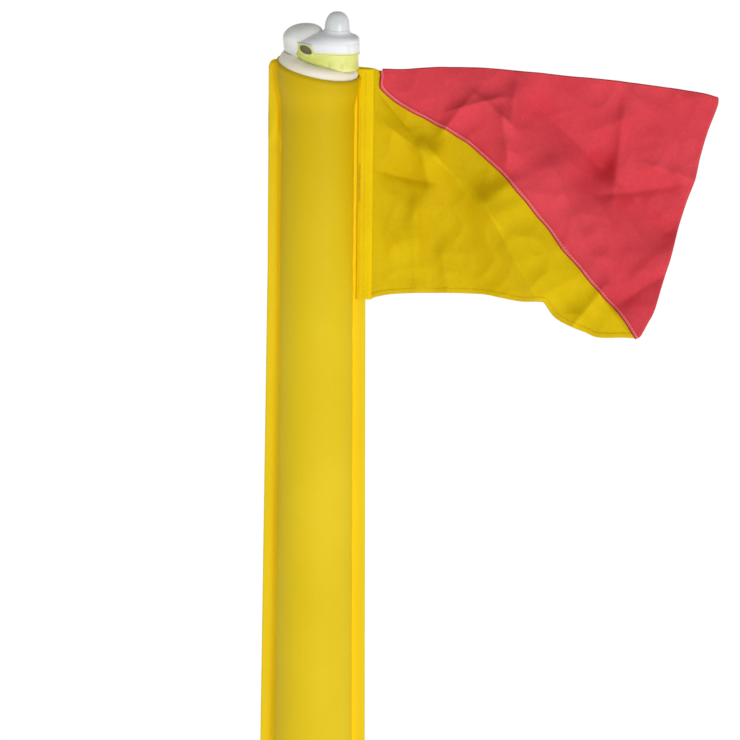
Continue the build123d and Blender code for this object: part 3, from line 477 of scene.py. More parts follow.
# Creases that stand out on the cloth: start, end, height towards the front, and how far the
# crease spreads to its left and to its right as seen along it from start to end.
CREASES = [
    ((0.168, 1.652), (0.219, 1.560), 0.0180, 0.0320, 0.0130),
    ((0.118, 1.702), (0.172, 1.640), 0.0107, 0.0200, 0.0086),
    ((0.099, 1.648), (0.102, 1.572), 0.0112, 0.0110, 0.0160),
    ((0.044, 1.690), (0.104, 1.678), -0.0102, 0.0110, 0.0100),
    ((0.060, 1.738), (0.112, 1.700), 0.0079, 0.0140, 0.0120),
    ((0.104, 1.706), (0.112, 1.672), 0.0076, 0.0120, 0.0061),
    ((0.062, 1.764), (0.084, 1.738), -0.0066, 0.0080, 0.0100),
    ((0.262, 1.536), (0.286, 1.566), 0.0076, 0.0100, 0.0070),
    ((0.056, 1.640), (0.082, 1.606), 0.0059, 0.0120, 0.0080),
    ((0.132, 1.560), (0.128, 1.600), 0.0066, 0.0080, 0.0100),
    ((0.132, 1.736), (0.144, 1.751), 0.0059, 0.0060, 0.0060),
    ((0.144, 1.751), (0.166, 1.757), 0.0059, 0.0050, 0.0080),
    ((0.166, 1.757), (0.184, 1.741), 0.0059, 0.0050, 0.0080),
    ((0.184, 1.741), (0.187, 1.718), 0.0059, 0.0050, 0.0080),
    ((0.196, 1.766), (0.190, 1.704), 0.0102, 0.0180, 0.0082),
    ((0.222, 1.752), (0.285, 1.696), -0.0157, 0.0300, 0.0360),
    ((0.285, 1.696), (0.352, 1.630), -0.0157, 0.0300, 0.0360),
    ((0.305, 1.744), (0.298, 1.668), 0.0066, 0.0130, 0.0053),
    ((0.298, 1.666), (0.352, 1.674), -0.0076, 0.0140, 0.0080),
    ((0.336, 1.694), (0.372, 1.682), 0.0076, 0.0120, 0.0100),
    ((0.314, 1.560), (0.350, 1.584), -0.0066, 0.0120, 0.0100),
    ((0.236, 1.690), (0.262, 1.626), 0.0083, 0.0200, 0.0160),
]


def broad_folds(x, z):
    """Depth of the cloth's large waves, which grow from the head to the foot."""
    drop = 1 - (z - FLAG_FOOT) / (FLAG_HEAD - FLAG_FOOT)
    stops = [
        (0.0405, 0.000),
        (0.0540, 0.000),
        (0.118 - 0.010 * drop, 0.002 + 0.018 * drop),
        (0.175 + 0.110 * drop, -0.006 - 0.026 * drop),
        (0.270 + 0.230 * drop, 0.006 - 0.014 * drop),
        (0.440 + 0.230 * drop, -0.006 - 0.026 * drop),
    ]
    for (left, near), (right, far) in zip(stops, stops[1:]):
        if x <= right:
            return near + (far - near) * smoothly((x - left) / (right - left))
    return stops[-1][1]


def crease_depth(x, z):
    """Depth that the sharper creases add to the cloth."""
    depth = 0.0
    for (x0, z0), (x1, z1), height, left, right in CREASES:
        length = hypot(x1 - x0, z1 - z0)
        along = ((x - x0) * (x1 - x0) + (z - z0) * (z1 - z0)) / length**2
        aside = ((x - x0) * (z1 - z0) - (z - z0) * (x1 - x0)) / length
        past = max(-along, along - 1, 0.0) * length
        width = right if aside > 0 else left
        ridge = exp(-((abs(aside) / width) ** CREASE_FALL))
        depth -= CREASE_STRENGTH * height * ridge * bell(past, CREASE_FADE)
    return depth


def cloth_depth(x, z):
    """Depth of the hanging cloth at a point seen square on."""
    loose = smoothly((x - 0.050) / 0.030)
    small = abs(wander(x * 19 + z * 6, z * 15, 3.0)) * 0.0085
    small += abs(wander(x * 41, z * 36 - x * 12, 7.0)) * 0.0036
    return broad_folds(x, z) + (crease_depth(x, z) + small) * loose


def cloth_point(x, z, forward=0.0):
    """The place on the hanging cloth, or a little in front of it."""
    depth = cloth_depth(x, z)
    return Vector((x, depth - forward, z - depth * HANG_SLOPE))


def patch_point(across, down, head, foot, hoist, fly):
    """A point of the patch that four edges hold, at shares across and down."""
    top, bottom = curve_through(head, across), curve_through(foot, across)
    near, far = curve_through(hoist, down), curve_through(fly, down)
    corners = (
        Vector(head[0]) * (1 - across) * (1 - down)
        + Vector(head[-1]) * across * (1 - down)
        + Vector(foot[0]) * (1 - across) * down
        + Vector(foot[-1]) * across * down
    )
    return top * (1 - down) + bottom * down + near * (1 - across) + far * across - corners


def flag_material(name, deep, bright, fold_shadow=None):
    """Woven nylon, softly creased. The colour given last is a painted shadow, for cloth that a fold's edge
    shades.
    """
    material, cloth = new_material(name)
    at = cloth.place()
    across = cloth.part(at, 0)
    down = cloth.part(at, 2)
    warp_lines = across.math("SINE", across * (2 * pi / 0.0008))
    weft_lines = down.math("SINE", down * (2 * pi / 0.0008))
    faded = cloth.speckle(at, 14.0, 5.0)
    slub = cloth.speckle(at, 300.0, 3.0)
    crush = cloth.speckle(at, 26.0, 4.0, Distortion=0.8)
    shade = (faded * 0.7 + slub * 0.3).between(0.32, 0.68).blend(colour(*deep), colour(*bright))
    if fold_shadow is not None:
        shade = cloth.painted("fold_shadow").blend(shade, colour(*fold_shadow))
    relief = warp_lines * weft_lines * 0.07 + slub * 0.10 + crush
    rough = 0.62 + faded * 0.16
    surface(cloth, relief, 0.0006, Base_Color=shade, Roughness=rough, Specular_IOR_Level=0.10)
    return material


red_nylon = flag_material("red_nylon", (205, 62, 72), (216, 72, 82))
yellow_nylon = flag_material("yellow_nylon", (204, 171, 1), (215, 182, 4))
FLAG_CLOTH = 0.0005


def follow_flag(piece, slot_name, *nodes):
    """Hides the carried-over nodes that a piece on the flag stands in for and bakes its placement into its
    mesh.
    """
    if nodes:
        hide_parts(*nodes)
    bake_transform(piece)


def flag_panel(name, material, head, foot, hoist, fly, forward):
    """Makes one panel of the flag from its four edges."""
    shape = flat_grid(190, 130)
    for vert in shape.verts:
        flat = patch_point(vert.co.x + 0.5, 0.5 - vert.co.y, head, foot, hoist, fly)
        vert.co = cloth_point(flat.x, flat.y, forward)
    outward(shape)
    made = make_piece(name, shape, material)
    solid_from(made, FLAG_CLOTH)
    return made


HOIST_CORNER = (0.0640, 1.7887)  # where the seam meets the head
# at this corner the yellow cloth runs on behind the red as the seam's allowance
YELLOW_HEAD = [HEAD_EDGE[0], (0.0590, 1.7886), (0.0672, 1.7790), (0.0724, 1.7690)]
RED_HEAD = [HOIST_CORNER] + HEAD_EDGE[2:]
YELLOW_FOOT = FOOT_EDGE[1:]
red_panel = flag_panel(
    "flag_red", red_nylon, RED_HEAD, SEAM_LINE, [HOIST_CORNER, SEAM_LINE[0]], FLY_EDGE, 0.0006
)
yellow_panel = flag_panel(
    "flag_yellow", yellow_nylon, YELLOW_HEAD + SEAM_LINE[2:], FOOT_EDGE[:-1],
    [HEAD_EDGE[0], FOOT_EDGE[0]], [FOOT_EDGE[-1], FOOT_EDGE[-2]], 0.0,
)
follow_flag(red_panel, "flag_red", "flag_red_panel")
follow_flag(yellow_panel, "flag_yellow", "flag_yellow_panel")


def beside(line, share, distance, step=0.005):
    """The place at a distance to the left of a line, at a share of its length."""
    ahead, behind = curve_through(line, share + step), curve_through(line, share - step)
    aside = Vector((behind.y - ahead.y, ahead.x - behind.x)).normalized()
    return curve_through(line, share) + aside * distance


HEM = 0.0052
HEM_FOLD = 0.0008  # how far a hem's fold stands outside the cloth's edge
HEM_ROW = HEM - 0.0018  # the hem's row of stitches, from the cloth's edge


def edging(name, material, line, inward, rise, steps):
    """A doubled hem along an edge of the cloth, rounded where the cloth is folded over."""
    shape = flat_grid(steps, 12)
    for vert in shape.verts:
        round_the_edge = vert.co.y * 2  # -1 at the back of the hem, 1 at its front
        place = beside(line, vert.co.x + 0.5, inward * (HEM * abs(round_the_edge) - HEM_FOLD))
        front = sin(min(abs(round_the_edge) * 4, 1) * pi / 2) * (1 if round_the_edge > 0 else -1)
        front *= 1 - 0.7 * smoothly((abs(round_the_edge) - 0.7) / 0.3)
        vert.co = cloth_point(place.x, place.y, front * rise)
    outward(shape)
    made = make_piece(name, shape, material)
    solid_from(made, 0.0003)
    return made


def thread_material(name, deep, bright):
    """Twisted sewing thread."""
    material, twist = new_material(name)
    strands = twist.speckle(twist.place(), 1500.0, 2.0)
    tint = strands.between(0.35, 0.65).blend(colour(*deep), colour(*bright))
    surface(twist, strands, 0.00008, Base_Color=tint, Roughness=0.5 + strands * 0.2)
    return material


def sewn_thread(name, material, rows, pitch=0.0034, sewn=0.0024, thread=0.00028):
    """Rows of stitches, each a short rounded thread. A row is a function of 0 to 1 and a length."""
    shape = bmesh.new()
    for row, row_length in rows:
        count = int(row_length / pitch)
        for number in range(count):
            start, end = row((number + 0.1) / count), row((number + 0.8) / count)
            turn = (end - start).to_track_quat("X", "Z").to_matrix().to_4x4()
            size = Matrix.Diagonal((sewn / 2, thread, thread, 1))
            place = Matrix.Translation((start + end) / 2) @ turn @ size
            bmesh.ops.create_icosphere(shape, subdivisions=1, radius=1, matrix=place)
    return make_piece(name, shape, material)


def along(line, inset, forward):
    """A row of stitches beside a line on the front of the cloth."""

    def row(share):
        place = beside(line, share, inset, 0.01)
        return cloth_point(place.x, place.y, forward)

    return row


# The felled seam: the red cloth's edge is folded under and sewn down on the yellow with one row of
# stitches.
SEAM_WIDTH = 0.0038
SEAM_RUN = [(0.0642, 1.7880), (0.0641, 1.7800)] + SEAM_LINE
SEAM_SHIFT = 0.0007  # the seam lies this far to the yellow side of its line
# painted light: the seam strip is a lighter red than the cloth, a painted highlight along its raised ridge,
# with a dark red painted shadow along its lower edge on the yellow side
seam_nylon_painted_light = flag_material("seam_nylon_painted_light", (216, 84, 92), (228, 102, 110), (150, 46, 40))
shape = flat_grid(320, 12)
fold_shadow_layer = shape.verts.layers.float.new("fold_shadow")
for vert in shape.verts:
    # painted shadow along the strip's lower edge
    vert[fold_shadow_layer] = 1 - smoothly((vert.co.y + 0.26) / 0.12)
    stray = 0.0011 * wander(vert.co.x * 21, 5.0, 1.0)
    place = beside(SEAM_RUN, vert.co.x + 0.5, vert.co.y * SEAM_WIDTH - SEAM_SHIFT + stray)
    swell = sqrt(max(1 - (abs(vert.co.y) * 2) ** 4, 0.0))
    pucker = 0.0004 * wander(vert.co.x * 90, 1.0, 4.0)
    vert.co = cloth_point(place.x, place.y, 0.0005 + (0.0019 + pucker) * swell)
outward(shape)
seam = make_piece("flag_seam", shape, seam_nylon_painted_light)
solid_from(seam, 0.0004)
follow_flag(seam, "flag_red")

pale_thread = thread_material("pale_thread", (226, 140, 140), (240, 168, 164))
seam_thread = sewn_thread(
    "seam_thread", pale_thread,
    [(along(SEAM_LINE, 0.0006, 0.0025), 0.40)],
    pitch=0.0030, sewn=0.0026, thread=0.00026,
)
follow_flag(seam_thread, "flag_red")

red_hems = [
    edging("head_hem", red_nylon, RED_HEAD, -1, 0.0005, 220),
    edging("fly_hem", red_nylon, FLY_EDGE, -1, 0.0005, 180),
]
foot_hem = edging("foot_hem", yellow_nylon, YELLOW_FOOT, 1, 0.0003, 280)
for hem in red_hems:
    follow_flag(hem, "flag_red")
follow_flag(foot_hem, "flag_yellow")

red_thread = thread_material("red_thread", (196, 52, 62), (214, 66, 76))
hem_thread = sewn_thread(
    "hem_thread", red_thread,
    [(along(RED_HEAD, -HEM_ROW, 0.0009), 0.34), (along(FLY_EDGE, -HEM_ROW, 0.0009), 0.27)],
)
follow_flag(hem_thread, "flag_red")

yellow_thread = thread_material("yellow_thread", (212, 176, 4), (232, 198, 20))
foot_thread = sewn_thread(
    "foot_thread", yellow_thread, [(along(YELLOW_FOOT, HEM_ROW, 0.0008), 0.31)]
)
follow_flag(foot_thread, "flag_yellow")

# The hoist is folded into a strip round the column's welded edge and sewn through it, with a
# short bar of closer stitches where the flag pulls hardest.
STRIP_INNER = 0.0400
STRIP_OUTER = 0.0562
STRIP_HEAD = 1.7895
STRIP_FOOT = 1.5556
STRIP_HALF = 0.0021
STRIP_STITCH = 0.0026  # how far its stitches stand in front of the welded edge's middle


def strip_lean(reach, height):
    """How far the strip leans with the welded edge that it is folded round."""
    return weld_waves(1, height) * min((reach - 0.0385) / 0.011, 1)


hoist_cloth = flag_material("hoist_strip_nylon", (230, 193, 2), (238, 202, 8))
shape = flat_grid(24, 150)
for vert in shape.verts:
    height = STRIP_FOOT + (STRIP_HEAD - STRIP_FOOT) * (vert.co.y + 0.5)
    inner = max(STRIP_INNER, tube_radius(height) + 0.0008)
    inner -= 0.0026 * smoothly((height - 1.7815) / 0.004)  # the fold's head lies on the cap's edge
    round_the_edge = vert.co.x * 2
    reach = STRIP_OUTER - (STRIP_OUTER - inner) * abs(round_the_edge)
    wobble = 0.0004 * wander(reach * 120, height * 60, 2.0)
    pinch = sin(min((1 - abs(round_the_edge)) * 9, 1) * pi / 2)
    front = sin(min(abs(round_the_edge) * 5, 1) * pi / 2) * (1 if round_the_edge > 0 else -1)
    depth = -front * (STRIP_HALF * (0.62 + 0.38 * pinch) + wobble)
    vert.co = Vector((reach, depth + strip_lean(reach, height), height - abs(depth) * 0.1))
outward(shape)
hoist_strip = make_piece("hoist_strip", shape, hoist_cloth)
solid_from(hoist_strip, 0.0004)
follow_flag(hoist_strip, "hoist_tape", "flag_hoist_tape")


def strip_row(reach, low, high):
    """A row of stitches down the hoist strip."""

    def row(share):
        height = high + (low - high) * share
        return Vector((reach, strip_lean(reach, height) - STRIP_STITCH, height))

    return row


strip_rows = [
    (strip_row(0.0428, STRIP_FOOT, 1.748), 0.192), (strip_row(0.0475, STRIP_FOOT, 1.786), 0.230),
]
strip_rows += [(strip_row(0.0418 + 0.0007 * step, 1.655, 1.694), 0.060) for step in range(3)]
hoist_thread = sewn_thread("hoist_thread", yellow_thread, strip_rows)
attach(hoist_thread, "pole")

# ------------------------------------------------------------------ lamp
# A small sea-activated lamp that clips on the end cap: a fluorescent base with a water inlet, a
# frosted cover, a bullet lens over the diode and a rounded pod for its cell. All are moulded.
LAMP_FALL_SIDE = tan(radians(2))
LAMP_FALL_FRONT = tan(radians(3))
LAMP_PLACE = tilted_place(LAMP_FALL_SIDE, LAMP_FALL_FRONT)
LAMP_MIDDLE = (0.0085, -0.0080)
LENS_MIDDLE = (0.0172, -0.0080)
POD_MIDDLE = (-0.0159, 0.0030)


def rounder_end(x, y):
    """Draws the left end of the base and its cover towards their middle."""
    end = smoothly((0.004 - x) / 0.026)
    return y + (LAMP_MIDDLE[1] + 0.006 - y) * 0.12 * end


def moulded(levels, turns, steps):
    """A closed moulding on rounded outlines: height, middle, half length, half width, squareness."""
    shape = spun([(1.0, step) for step in range(steps + 1)], turns)
    for vert in shape.verts:
        turn = atan2(vert.co.y, vert.co.x)
        share = vert.co.z / steps
        height, middle_x, middle_y = curve_through([level[0:3] for level in levels], share)
        length, width, square = curve_through([level[3:6] for level in levels], share)
        power = 2 / max(square, 2.0)
        x = abs(cos(turn)) ** power * (1 if cos(turn) > 0 else -1)
        y = abs(sin(turn)) ** power * (1 if sin(turn) > 0 else -1)
        vert.co = (middle_x + max(length, 0) * x, middle_y + max(width, 0) * y, height)
    bmesh.ops.remove_doubles(shape, verts=shape.verts, dist=1e-5)
    outward(shape)
    return shape


def cushion_height(x, y):
    """Height of the swollen end cap under a point of the lamp's own plan."""
    edge = min(hypot(x, y) / CAP_RADIUS, 1.0)
    swell = CAP_RISE * (1 - edge**7) ** 0.5 + cap_swell(x, y)
    tilted = -x * (RIM_FALL_SIDE - LAMP_FALL_SIDE) + y * (RIM_FALL_FRONT - LAMP_FALL_FRONT)
    return tilted + swell


def lamp_plastic(name, deep, bright, roughness, marked=None):
    """Soft translucent moulding plastic, a little cloudy. Marked places take a second colour: painted shade
    inside the base's inlet, and the base's colour under the cover.
    """
    material, plastic = new_material(name)
    at = plastic.place()
    cloud = plastic.speckle(at, 45.0, 4.0)
    grain = plastic.speckle(at, 1600.0, 2.0)
    tint = cloud.between(0.30, 0.70).blend(colour(*deep), colour(*bright))
    if marked is not None:
        tint = plastic.painted("marked").blend(tint, colour(*marked))
    surface(
        plastic, grain, 0.00005, Base_Color=tint, Roughness=roughness + cloud * 0.14,
        Specular_IOR_Level=0.45, Subsurface_Weight=0.25, Subsurface_Radius=(0.006, 0.006, 0.005),
        Subsurface_Scale=0.5,
    )
    return material


# the last colour is painted shade for the inside of the water inlet
base_plastic = lamp_plastic(
    "fluorescent_plastic", (214, 217, 112), (229, 232, 142), 0.30, (112, 106, 76)
)
INLET_TURN = (-0.0129, 0.0213)  # place of the oval inlet along the front wall and its height
BASE_LEVELS = [
    (0.0000, *LAMP_MIDDLE, 0.0298, 0.0206, 2.7),
    (0.0012, *LAMP_MIDDLE, 0.0300, 0.0208, 2.7),
    (0.0016, *LAMP_MIDDLE, 0.0317, 0.0225, 2.7),
    (0.0045, *LAMP_MIDDLE, 0.0318, 0.0226, 2.7),
    (0.0100, *LAMP_MIDDLE, 0.0312, 0.0221, 2.7),
    (0.0190, *LAMP_MIDDLE, 0.0310, 0.0220, 2.7),
    (0.0240, *LAMP_MIDDLE, 0.0309, 0.0219, 2.7),
    (0.0262, *LAMP_MIDDLE, 0.0298, 0.0208, 2.7),
    (0.0270, *LAMP_MIDDLE, 0.0270, 0.0180, 2.6),
    (0.0270, *LAMP_MIDDLE, 0.0100, 0.0070, 2.4),
    (0.0270, *LAMP_MIDDLE, 0.0000, 0.0000, 2.0),
]
shape = moulded(BASE_LEVELS, turns=280, steps=132)
marked_layer = shape.verts.layers.float.new("marked")
for vert in shape.verts:
    if vert.co.y < -0.012:
        wide = (vert.co.x - INLET_TURN[0]) / 0.0062
        tall = (vert.co.z + 0.25 * (vert.co.x - INLET_TURN[0]) - INLET_TURN[1]) / 0.0043
        inside = 1 - smoothly((hypot(wide, tall) - 0.86) / 0.22)
        rim = bell(hypot(wide, tall) - 1.15, 0.16)
        # painted shade: the dent of the inlet is coloured dark, where shade falls inside the hole
        vert[marked_layer] = inside
        vert.co.y += 0.0026 * inside - 0.0006 * rim
        # two shallow marks of the mould on the front wall
        for mark, depth in ((0.0105, 0.0007), (0.0232, 0.0009)):
            vert.co.y += depth * bell(vert.co.x - mark, 0.0011) * smoothly((0.011 - vert.co.z) / 0.004)
    # the left end is rounder, and the whole foot follows the swollen cap, with a step at its front
    vert.co.y = rounder_end(vert.co.x, vert.co.y)
    lowest = cushion_height(vert.co.x, vert.co.y) + 0.0004
    lowest += 0.0010 * smoothly((0.0056 - vert.co.x) / 0.001) * smoothly((vert.co.z - 0.0010) / 0.0004)
    vert.co.z += max(lowest, 0.0012) * (1 - smoothly(vert.co.z / 0.020))
shape.transform(LAMP_PLACE)
lamp_base = make_piece("lamp_base_shell", shape, base_plastic)
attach(lamp_base, "pole")
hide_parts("lamp_base")

frosted = lamp_plastic(
    "frosted_plastic", (228, 231, 233), (240, 242, 244), 0.34, (226, 229, 140)
)
COVER_LEVELS = [
    (0.0176, 0.0085, -0.0080, 0.0313, 0.0223, 2.7),
    (0.0182, 0.0085, -0.0080, 0.0317, 0.0227, 2.7),
    (0.0260, 0.0100, -0.0080, 0.0302, 0.0225, 2.7),
    (0.0290, 0.0107, -0.0080, 0.0292, 0.0220, 2.6),
    (0.0318, 0.0130, -0.0080, 0.0267, 0.0209, 2.6),
    (0.0340, 0.0150, -0.0080, 0.0234, 0.0194, 2.5),
    (0.0354, 0.0152, -0.0080, 0.0208, 0.0176, 2.3),
    (0.0364, 0.0158, -0.0080, 0.0174, 0.0155, 2.1),
    (0.0380, 0.0166, -0.0080, 0.0142, 0.0138, 2.0),
    (0.0402, 0.0171, -0.0080, 0.0129, 0.0129, 2.0),
    (0.0408, 0.0172, -0.0080, 0.0122, 0.0122, 2.0),
]
shape = moulded(COVER_LEVELS, turns=200, steps=90)
marked_layer = shape.verts.layers.float.new("marked")
for vert in shape.verts:
    low = 1 - smoothly((vert.co.z - 0.0176) / 0.011)
    vert.co.y = rounder_end(vert.co.x, vert.co.y)
    # the base's colour shows through the lower part, and the edge rises to leave the inlet free
    left = smoothly((-0.0040 - vert.co.x) / 0.0044)
    vert[marked_layer] = (1 - smoothly((vert.co.z - 0.0184) / 0.0040)) * (1 - 0.4 * left)
    vert.co.z += 0.0086 * left * low
    if vert.co.y < -0.012:
        vert.co.y += 0.0009 * bell(vert.co.x - 0.0308, 0.0013) * (1 - low)
shape.transform(LAMP_PLACE)
lamp_cover = make_piece("lamp_cover_shell", shape, frosted)
solid_from(lamp_cover, 0.0012, -1)
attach(lamp_cover, "pole")
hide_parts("lamp_cover")

lens_plastic = lamp_plastic("lens_plastic", (215, 219, 219), (229, 232, 232), 0.20)
lens_outline = [
    (0.0126, 0.0318), (0.0125, 0.0380), (0.0124, 0.0430), (0.0119, 0.0475), (0.0106, 0.0516),
    (0.0084, 0.0552), (0.0048, 0.0578), (0.0, 0.0585),
]
shape = lathed(lens_outline, 48, 112)
shape.transform(LAMP_PLACE @ Matrix.Translation((*LENS_MIDDLE, 0)))
lamp_lens = make_piece("lamp_lens_dome", shape, lens_plastic)
solid_from(lamp_lens, 0.0015, -1)
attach(lamp_lens, "pole")
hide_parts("lamp_lens")

pod_plastic = lamp_plastic("pod_plastic", (222, 223, 217), (238, 239, 234), 0.36)
POD_LEVELS = [
    (0.0040, *POD_MIDDLE, 0.0190, 0.0192, 2.0),
    (0.0150, *POD_MIDDLE, 0.0192, 0.0196, 2.1),
    (0.0215, *POD_MIDDLE, 0.0197, 0.0200, 2.2),
    (0.0280, *POD_MIDDLE, 0.0205, 0.0203, 2.2),
    (0.0320, -0.0156, 0.0030, 0.0200, 0.0198, 2.2),
    (0.0362, -0.0146, 0.0030, 0.0180, 0.0180, 2.1),
    (0.0400, -0.0134, 0.0030, 0.0140, 0.0142, 2.0),
    (0.0424, -0.0124, 0.0030, 0.0078, 0.0082, 2.0),
    (0.0430, -0.0120, 0.0030, 0.0000, 0.0000, 2.0),
]
shape = moulded(POD_LEVELS, turns=128, steps=80)
for vert in shape.verts:
    lift = max(cushion_height(vert.co.x, vert.co.y) + 0.0002 - 0.004, 0)
    vert.co.z += lift * (1 - smoothly((vert.co.z - 0.004) / 0.016))
shape.transform(LAMP_PLACE)
battery_pod = make_piece("battery_pod_shell", shape, pod_plastic)
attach(battery_pod, "pole")
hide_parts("battery_pod")


def finish_node(material, *nodes):
    """Gives carried-over nodes their material."""
    for node in nodes:
        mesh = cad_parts[node].data
        mesh.materials.clear()
        mesh.materials.append(material)


def moulded_finish(name, deep, bright, roughness, grain, depth, coat_weight, *nodes):
    """Moulded plastic or rubber: a slightly uneven colour, an eroded grain and light scuffs."""
    material, plastic = new_material(name)
    at = plastic.place()
    cloud = plastic.speckle(at, 24.0, 5.0)
    pits = plastic.speckle(at, grain, 3.0)
    scuff = plastic.speckle(at, 160.0, 6.0, Roughness=0.75)
    tint = (cloud * 0.7 + scuff * 0.3).between(0.32, 0.68).blend(colour(*deep), colour(*bright))
    surface(
        plastic, pits, depth, Base_Color=tint, Roughness=roughness + scuff * 0.16,
        Specular_IOR_Level=0.45, Coat_Weight=coat_weight, Coat_Roughness=0.15,
    )
    finish_node(material, *nodes)
    return material


def metal_finish(name, deep, bright, roughness, stretch, grain, depth, *nodes):
    """Bare or plated metal with tool marks along one direction and a few duller patches."""
    material, metal = new_material(name)
    at = metal.place()
    drawn = metal.node("Mapping", None, {"Vector": at, "Scale": stretch})
    marks = metal.speckle(drawn, grain, 4.0)
    dull = metal.speckle(at, 70.0, 5.0)
    tint = (dull * 0.6 + marks * 0.4).between(0.34, 0.66).blend(colour(*deep), colour(*bright))
    surface(
        metal, marks, depth, Base_Color=tint, Metallic=1.0, Roughness=roughness + dull * 0.22,
    )
    finish_node(material, *nodes)
    return material


# Inside the lamp: a seal under the lens, the board with its diode, two sensing contacts, a cell.
black_rubber = moulded_finish(
    "black_rubber", (34, 34, 35), (50, 50, 51), 0.56, 520.0, 0.00012, 0.0, "lens_seal"
)
moulded_finish("board_lacquer", (16, 84, 44), (26, 112, 60), 0.24, 900.0, 0.00004, 0.4, "lamp_board")
diode_resin = lamp_plastic("diode_resin", (226, 228, 214), (240, 241, 232), 0.08)
finish_node(diode_resin, "lamp_diode")
metal_finish(
    "contact_plating", (196, 194, 188), (222, 220, 214), 0.16, (1, 1, 0.2), 900.0, 0.00003, "water_contacts"
)
moulded_finish("cell_film", (58, 62, 70), (78, 82, 92), 0.22, 800.0, 0.00003, 0.5, "battery_cell")

# ------------------------------------------------------------------ foot
# A moulded rubber boot holds a fabric sleeve with three cast iron discs on a bolt. The sleeve is
# welded to the column's lower end and its gathers show above the boot; a worm clamp grips it.
sleeve_low, sleeve_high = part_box("ballast_pocket")
SLEEVE_RADIUS = 0.0480
sleeve_outline = [
    (SLEEVE_RADIUS - 0.0009, sleeve_low.z),
    (SLEEVE_RADIUS - 0.0009, 0.034),
    (SLEEVE_RADIUS - 0.0008, 0.0425),
    (SLEEVE_RADIUS + 0.0004, 0.0520),
    (SLEEVE_RADIUS - 0.0008, 0.0600),
    (SLEEVE_RADIUS - 0.0004, sleeve_high.z + 0.0002),
]
shape = lathed(sleeve_outline, 40, 240)
for vert in shape.verts:
    turn = atan2(vert.co.y, vert.co.x)
    free = smoothly((vert.co.z - 0.042) / 0.006) * smoothly((0.0645 - vert.co.z) / 0.005)
    gather = wander(9 * cos(turn), 9 * sin(turn), vert.co.z * 25)
    size = 1 + 0.030 * gather * free
    vert.co.x *= size
    vert.co.y *= size
sleeve = make_piece("ballast_sleeve", shape, yellow_coat)
solid_from(sleeve, 0.0010, -1)
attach(sleeve, "pole")
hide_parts("ballast_pocket")

disc_low, disc_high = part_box("bottom_cap")
disc_outline = [(disc_high.x, disc_low.z), (disc_high.x - 0.001, disc_high.z), (0.0, disc_high.z)]
shape = lathed(disc_outline, 16)
for vert in shape.verts:
    vert.co.z += 0.0003 * noise.noise(vert.co * 60)
base_disc = make_piece("column_base_disc", shape, yellow_coat)
solid_from(base_disc, 0.0008, -1)
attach(base_disc, "pole")
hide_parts("bottom_cap")

boot_rubber, rubber = new_material("boot_rubber")
place = rubber.place()
worn = rubber.speckle(place, 34.0, 6.0)
pits = rubber.speckle(place, 480.0, 3.0)
level = rubber.part(place, 2)
dust = worn.between(0.50, 0.75) * (1.0 - level.between(0.004, 0.030)) * 0.55
tint = dust.blend(colour(42, 42, 43), colour(104, 98, 88))
ribs = level.math("SINE", level * (2 * pi / 0.0040)) * level.between(0.016, 0.018)
surface(
    rubber, pits * 0.25 + ribs * 0.4, 0.0004, Base_Color=tint, Roughness=0.62 + worn * 0.2,
)
finish_node(boot_rubber, "foot_boot")
metal_finish("cast_iron", (70, 70, 72), (96, 95, 94), 0.58, (1, 1, 1), 260.0, 0.0003, "ballast_discs")
metal_finish(
    "zinc_plating", (176, 174, 166), (204, 203, 198), 0.26, (1, 1, 0.3), 520.0, 0.00004,
    "ballast_bolt", "ballast_nut",
)
metal_finish(
    "brushed_stainless_steel", (178, 178, 178), (208, 208, 207), 0.20, (1, 1, 14), 240.0, 0.00004,
    "foot_clamp_band", "clamp_screw",
)
metal_finish(
    "eyelet_brass", (176, 140, 74), (214, 180, 104), 0.22, (1, 1, 1), 420.0, 0.00005, "edge_eyelets"
)

# ------------------------------------------------------------------ inflator
# A black moulded body on a hollow stem: a lever with a pull tab drives a pin into the gas
# cylinder, and a bobbin cap holds the ring that softens in water. A round patch carries it.
PATCH_WELD = 0.0006


def skin_patch(name, node, radius, material):
    """A round of coated fabric welded on the column's front, with a pressed ring near its edge."""
    low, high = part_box(node)
    middle = (low.z + high.z) / 2
    ring = [
        (0.0062, 0.0010), (radius * 0.5, 0.0010), (radius - 0.0048, 0.0010), (radius - 0.0040, 0.0005),
        (radius - 0.0024, 0.0010), (radius - 0.0010, 0.0010), (radius, 0.0002),
    ]
    shape = lathed(ring, 42, 120)
    for vert in shape.verts:
        across, up, proud = vert.co.x, vert.co.y, vert.co.z
        pressed = 0.00012 * wander(across * 260, up * 260, 1.0)
        distance = tube_radius(middle + up) + PATCH_WELD + proud + pressed
        angle = across / distance
        vert.co = (distance * sin(angle), -distance * cos(angle), middle + up)
    outward(shape)
    made = make_piece(name, shape, material)
    solid_from(made, 0.0007, -1)
    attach(made, "pole")
    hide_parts(node)


patch_coat, coat = new_material("patch_fabric")
place = coat.place()
blotches = coat.speckle(place, 40.0, 5.0)
fine = coat.speckle(place, 900.0, 3.0)
tint = blotches.between(0.3, 0.72).blend(colour(224, 186, 14), colour(238, 202, 34))
surface(coat, fine, 0.00010, Base_Color=tint, Roughness=0.40 + blotches * 0.2)
skin_patch("inflator_patch", "valve_patch", 0.0270, patch_coat)

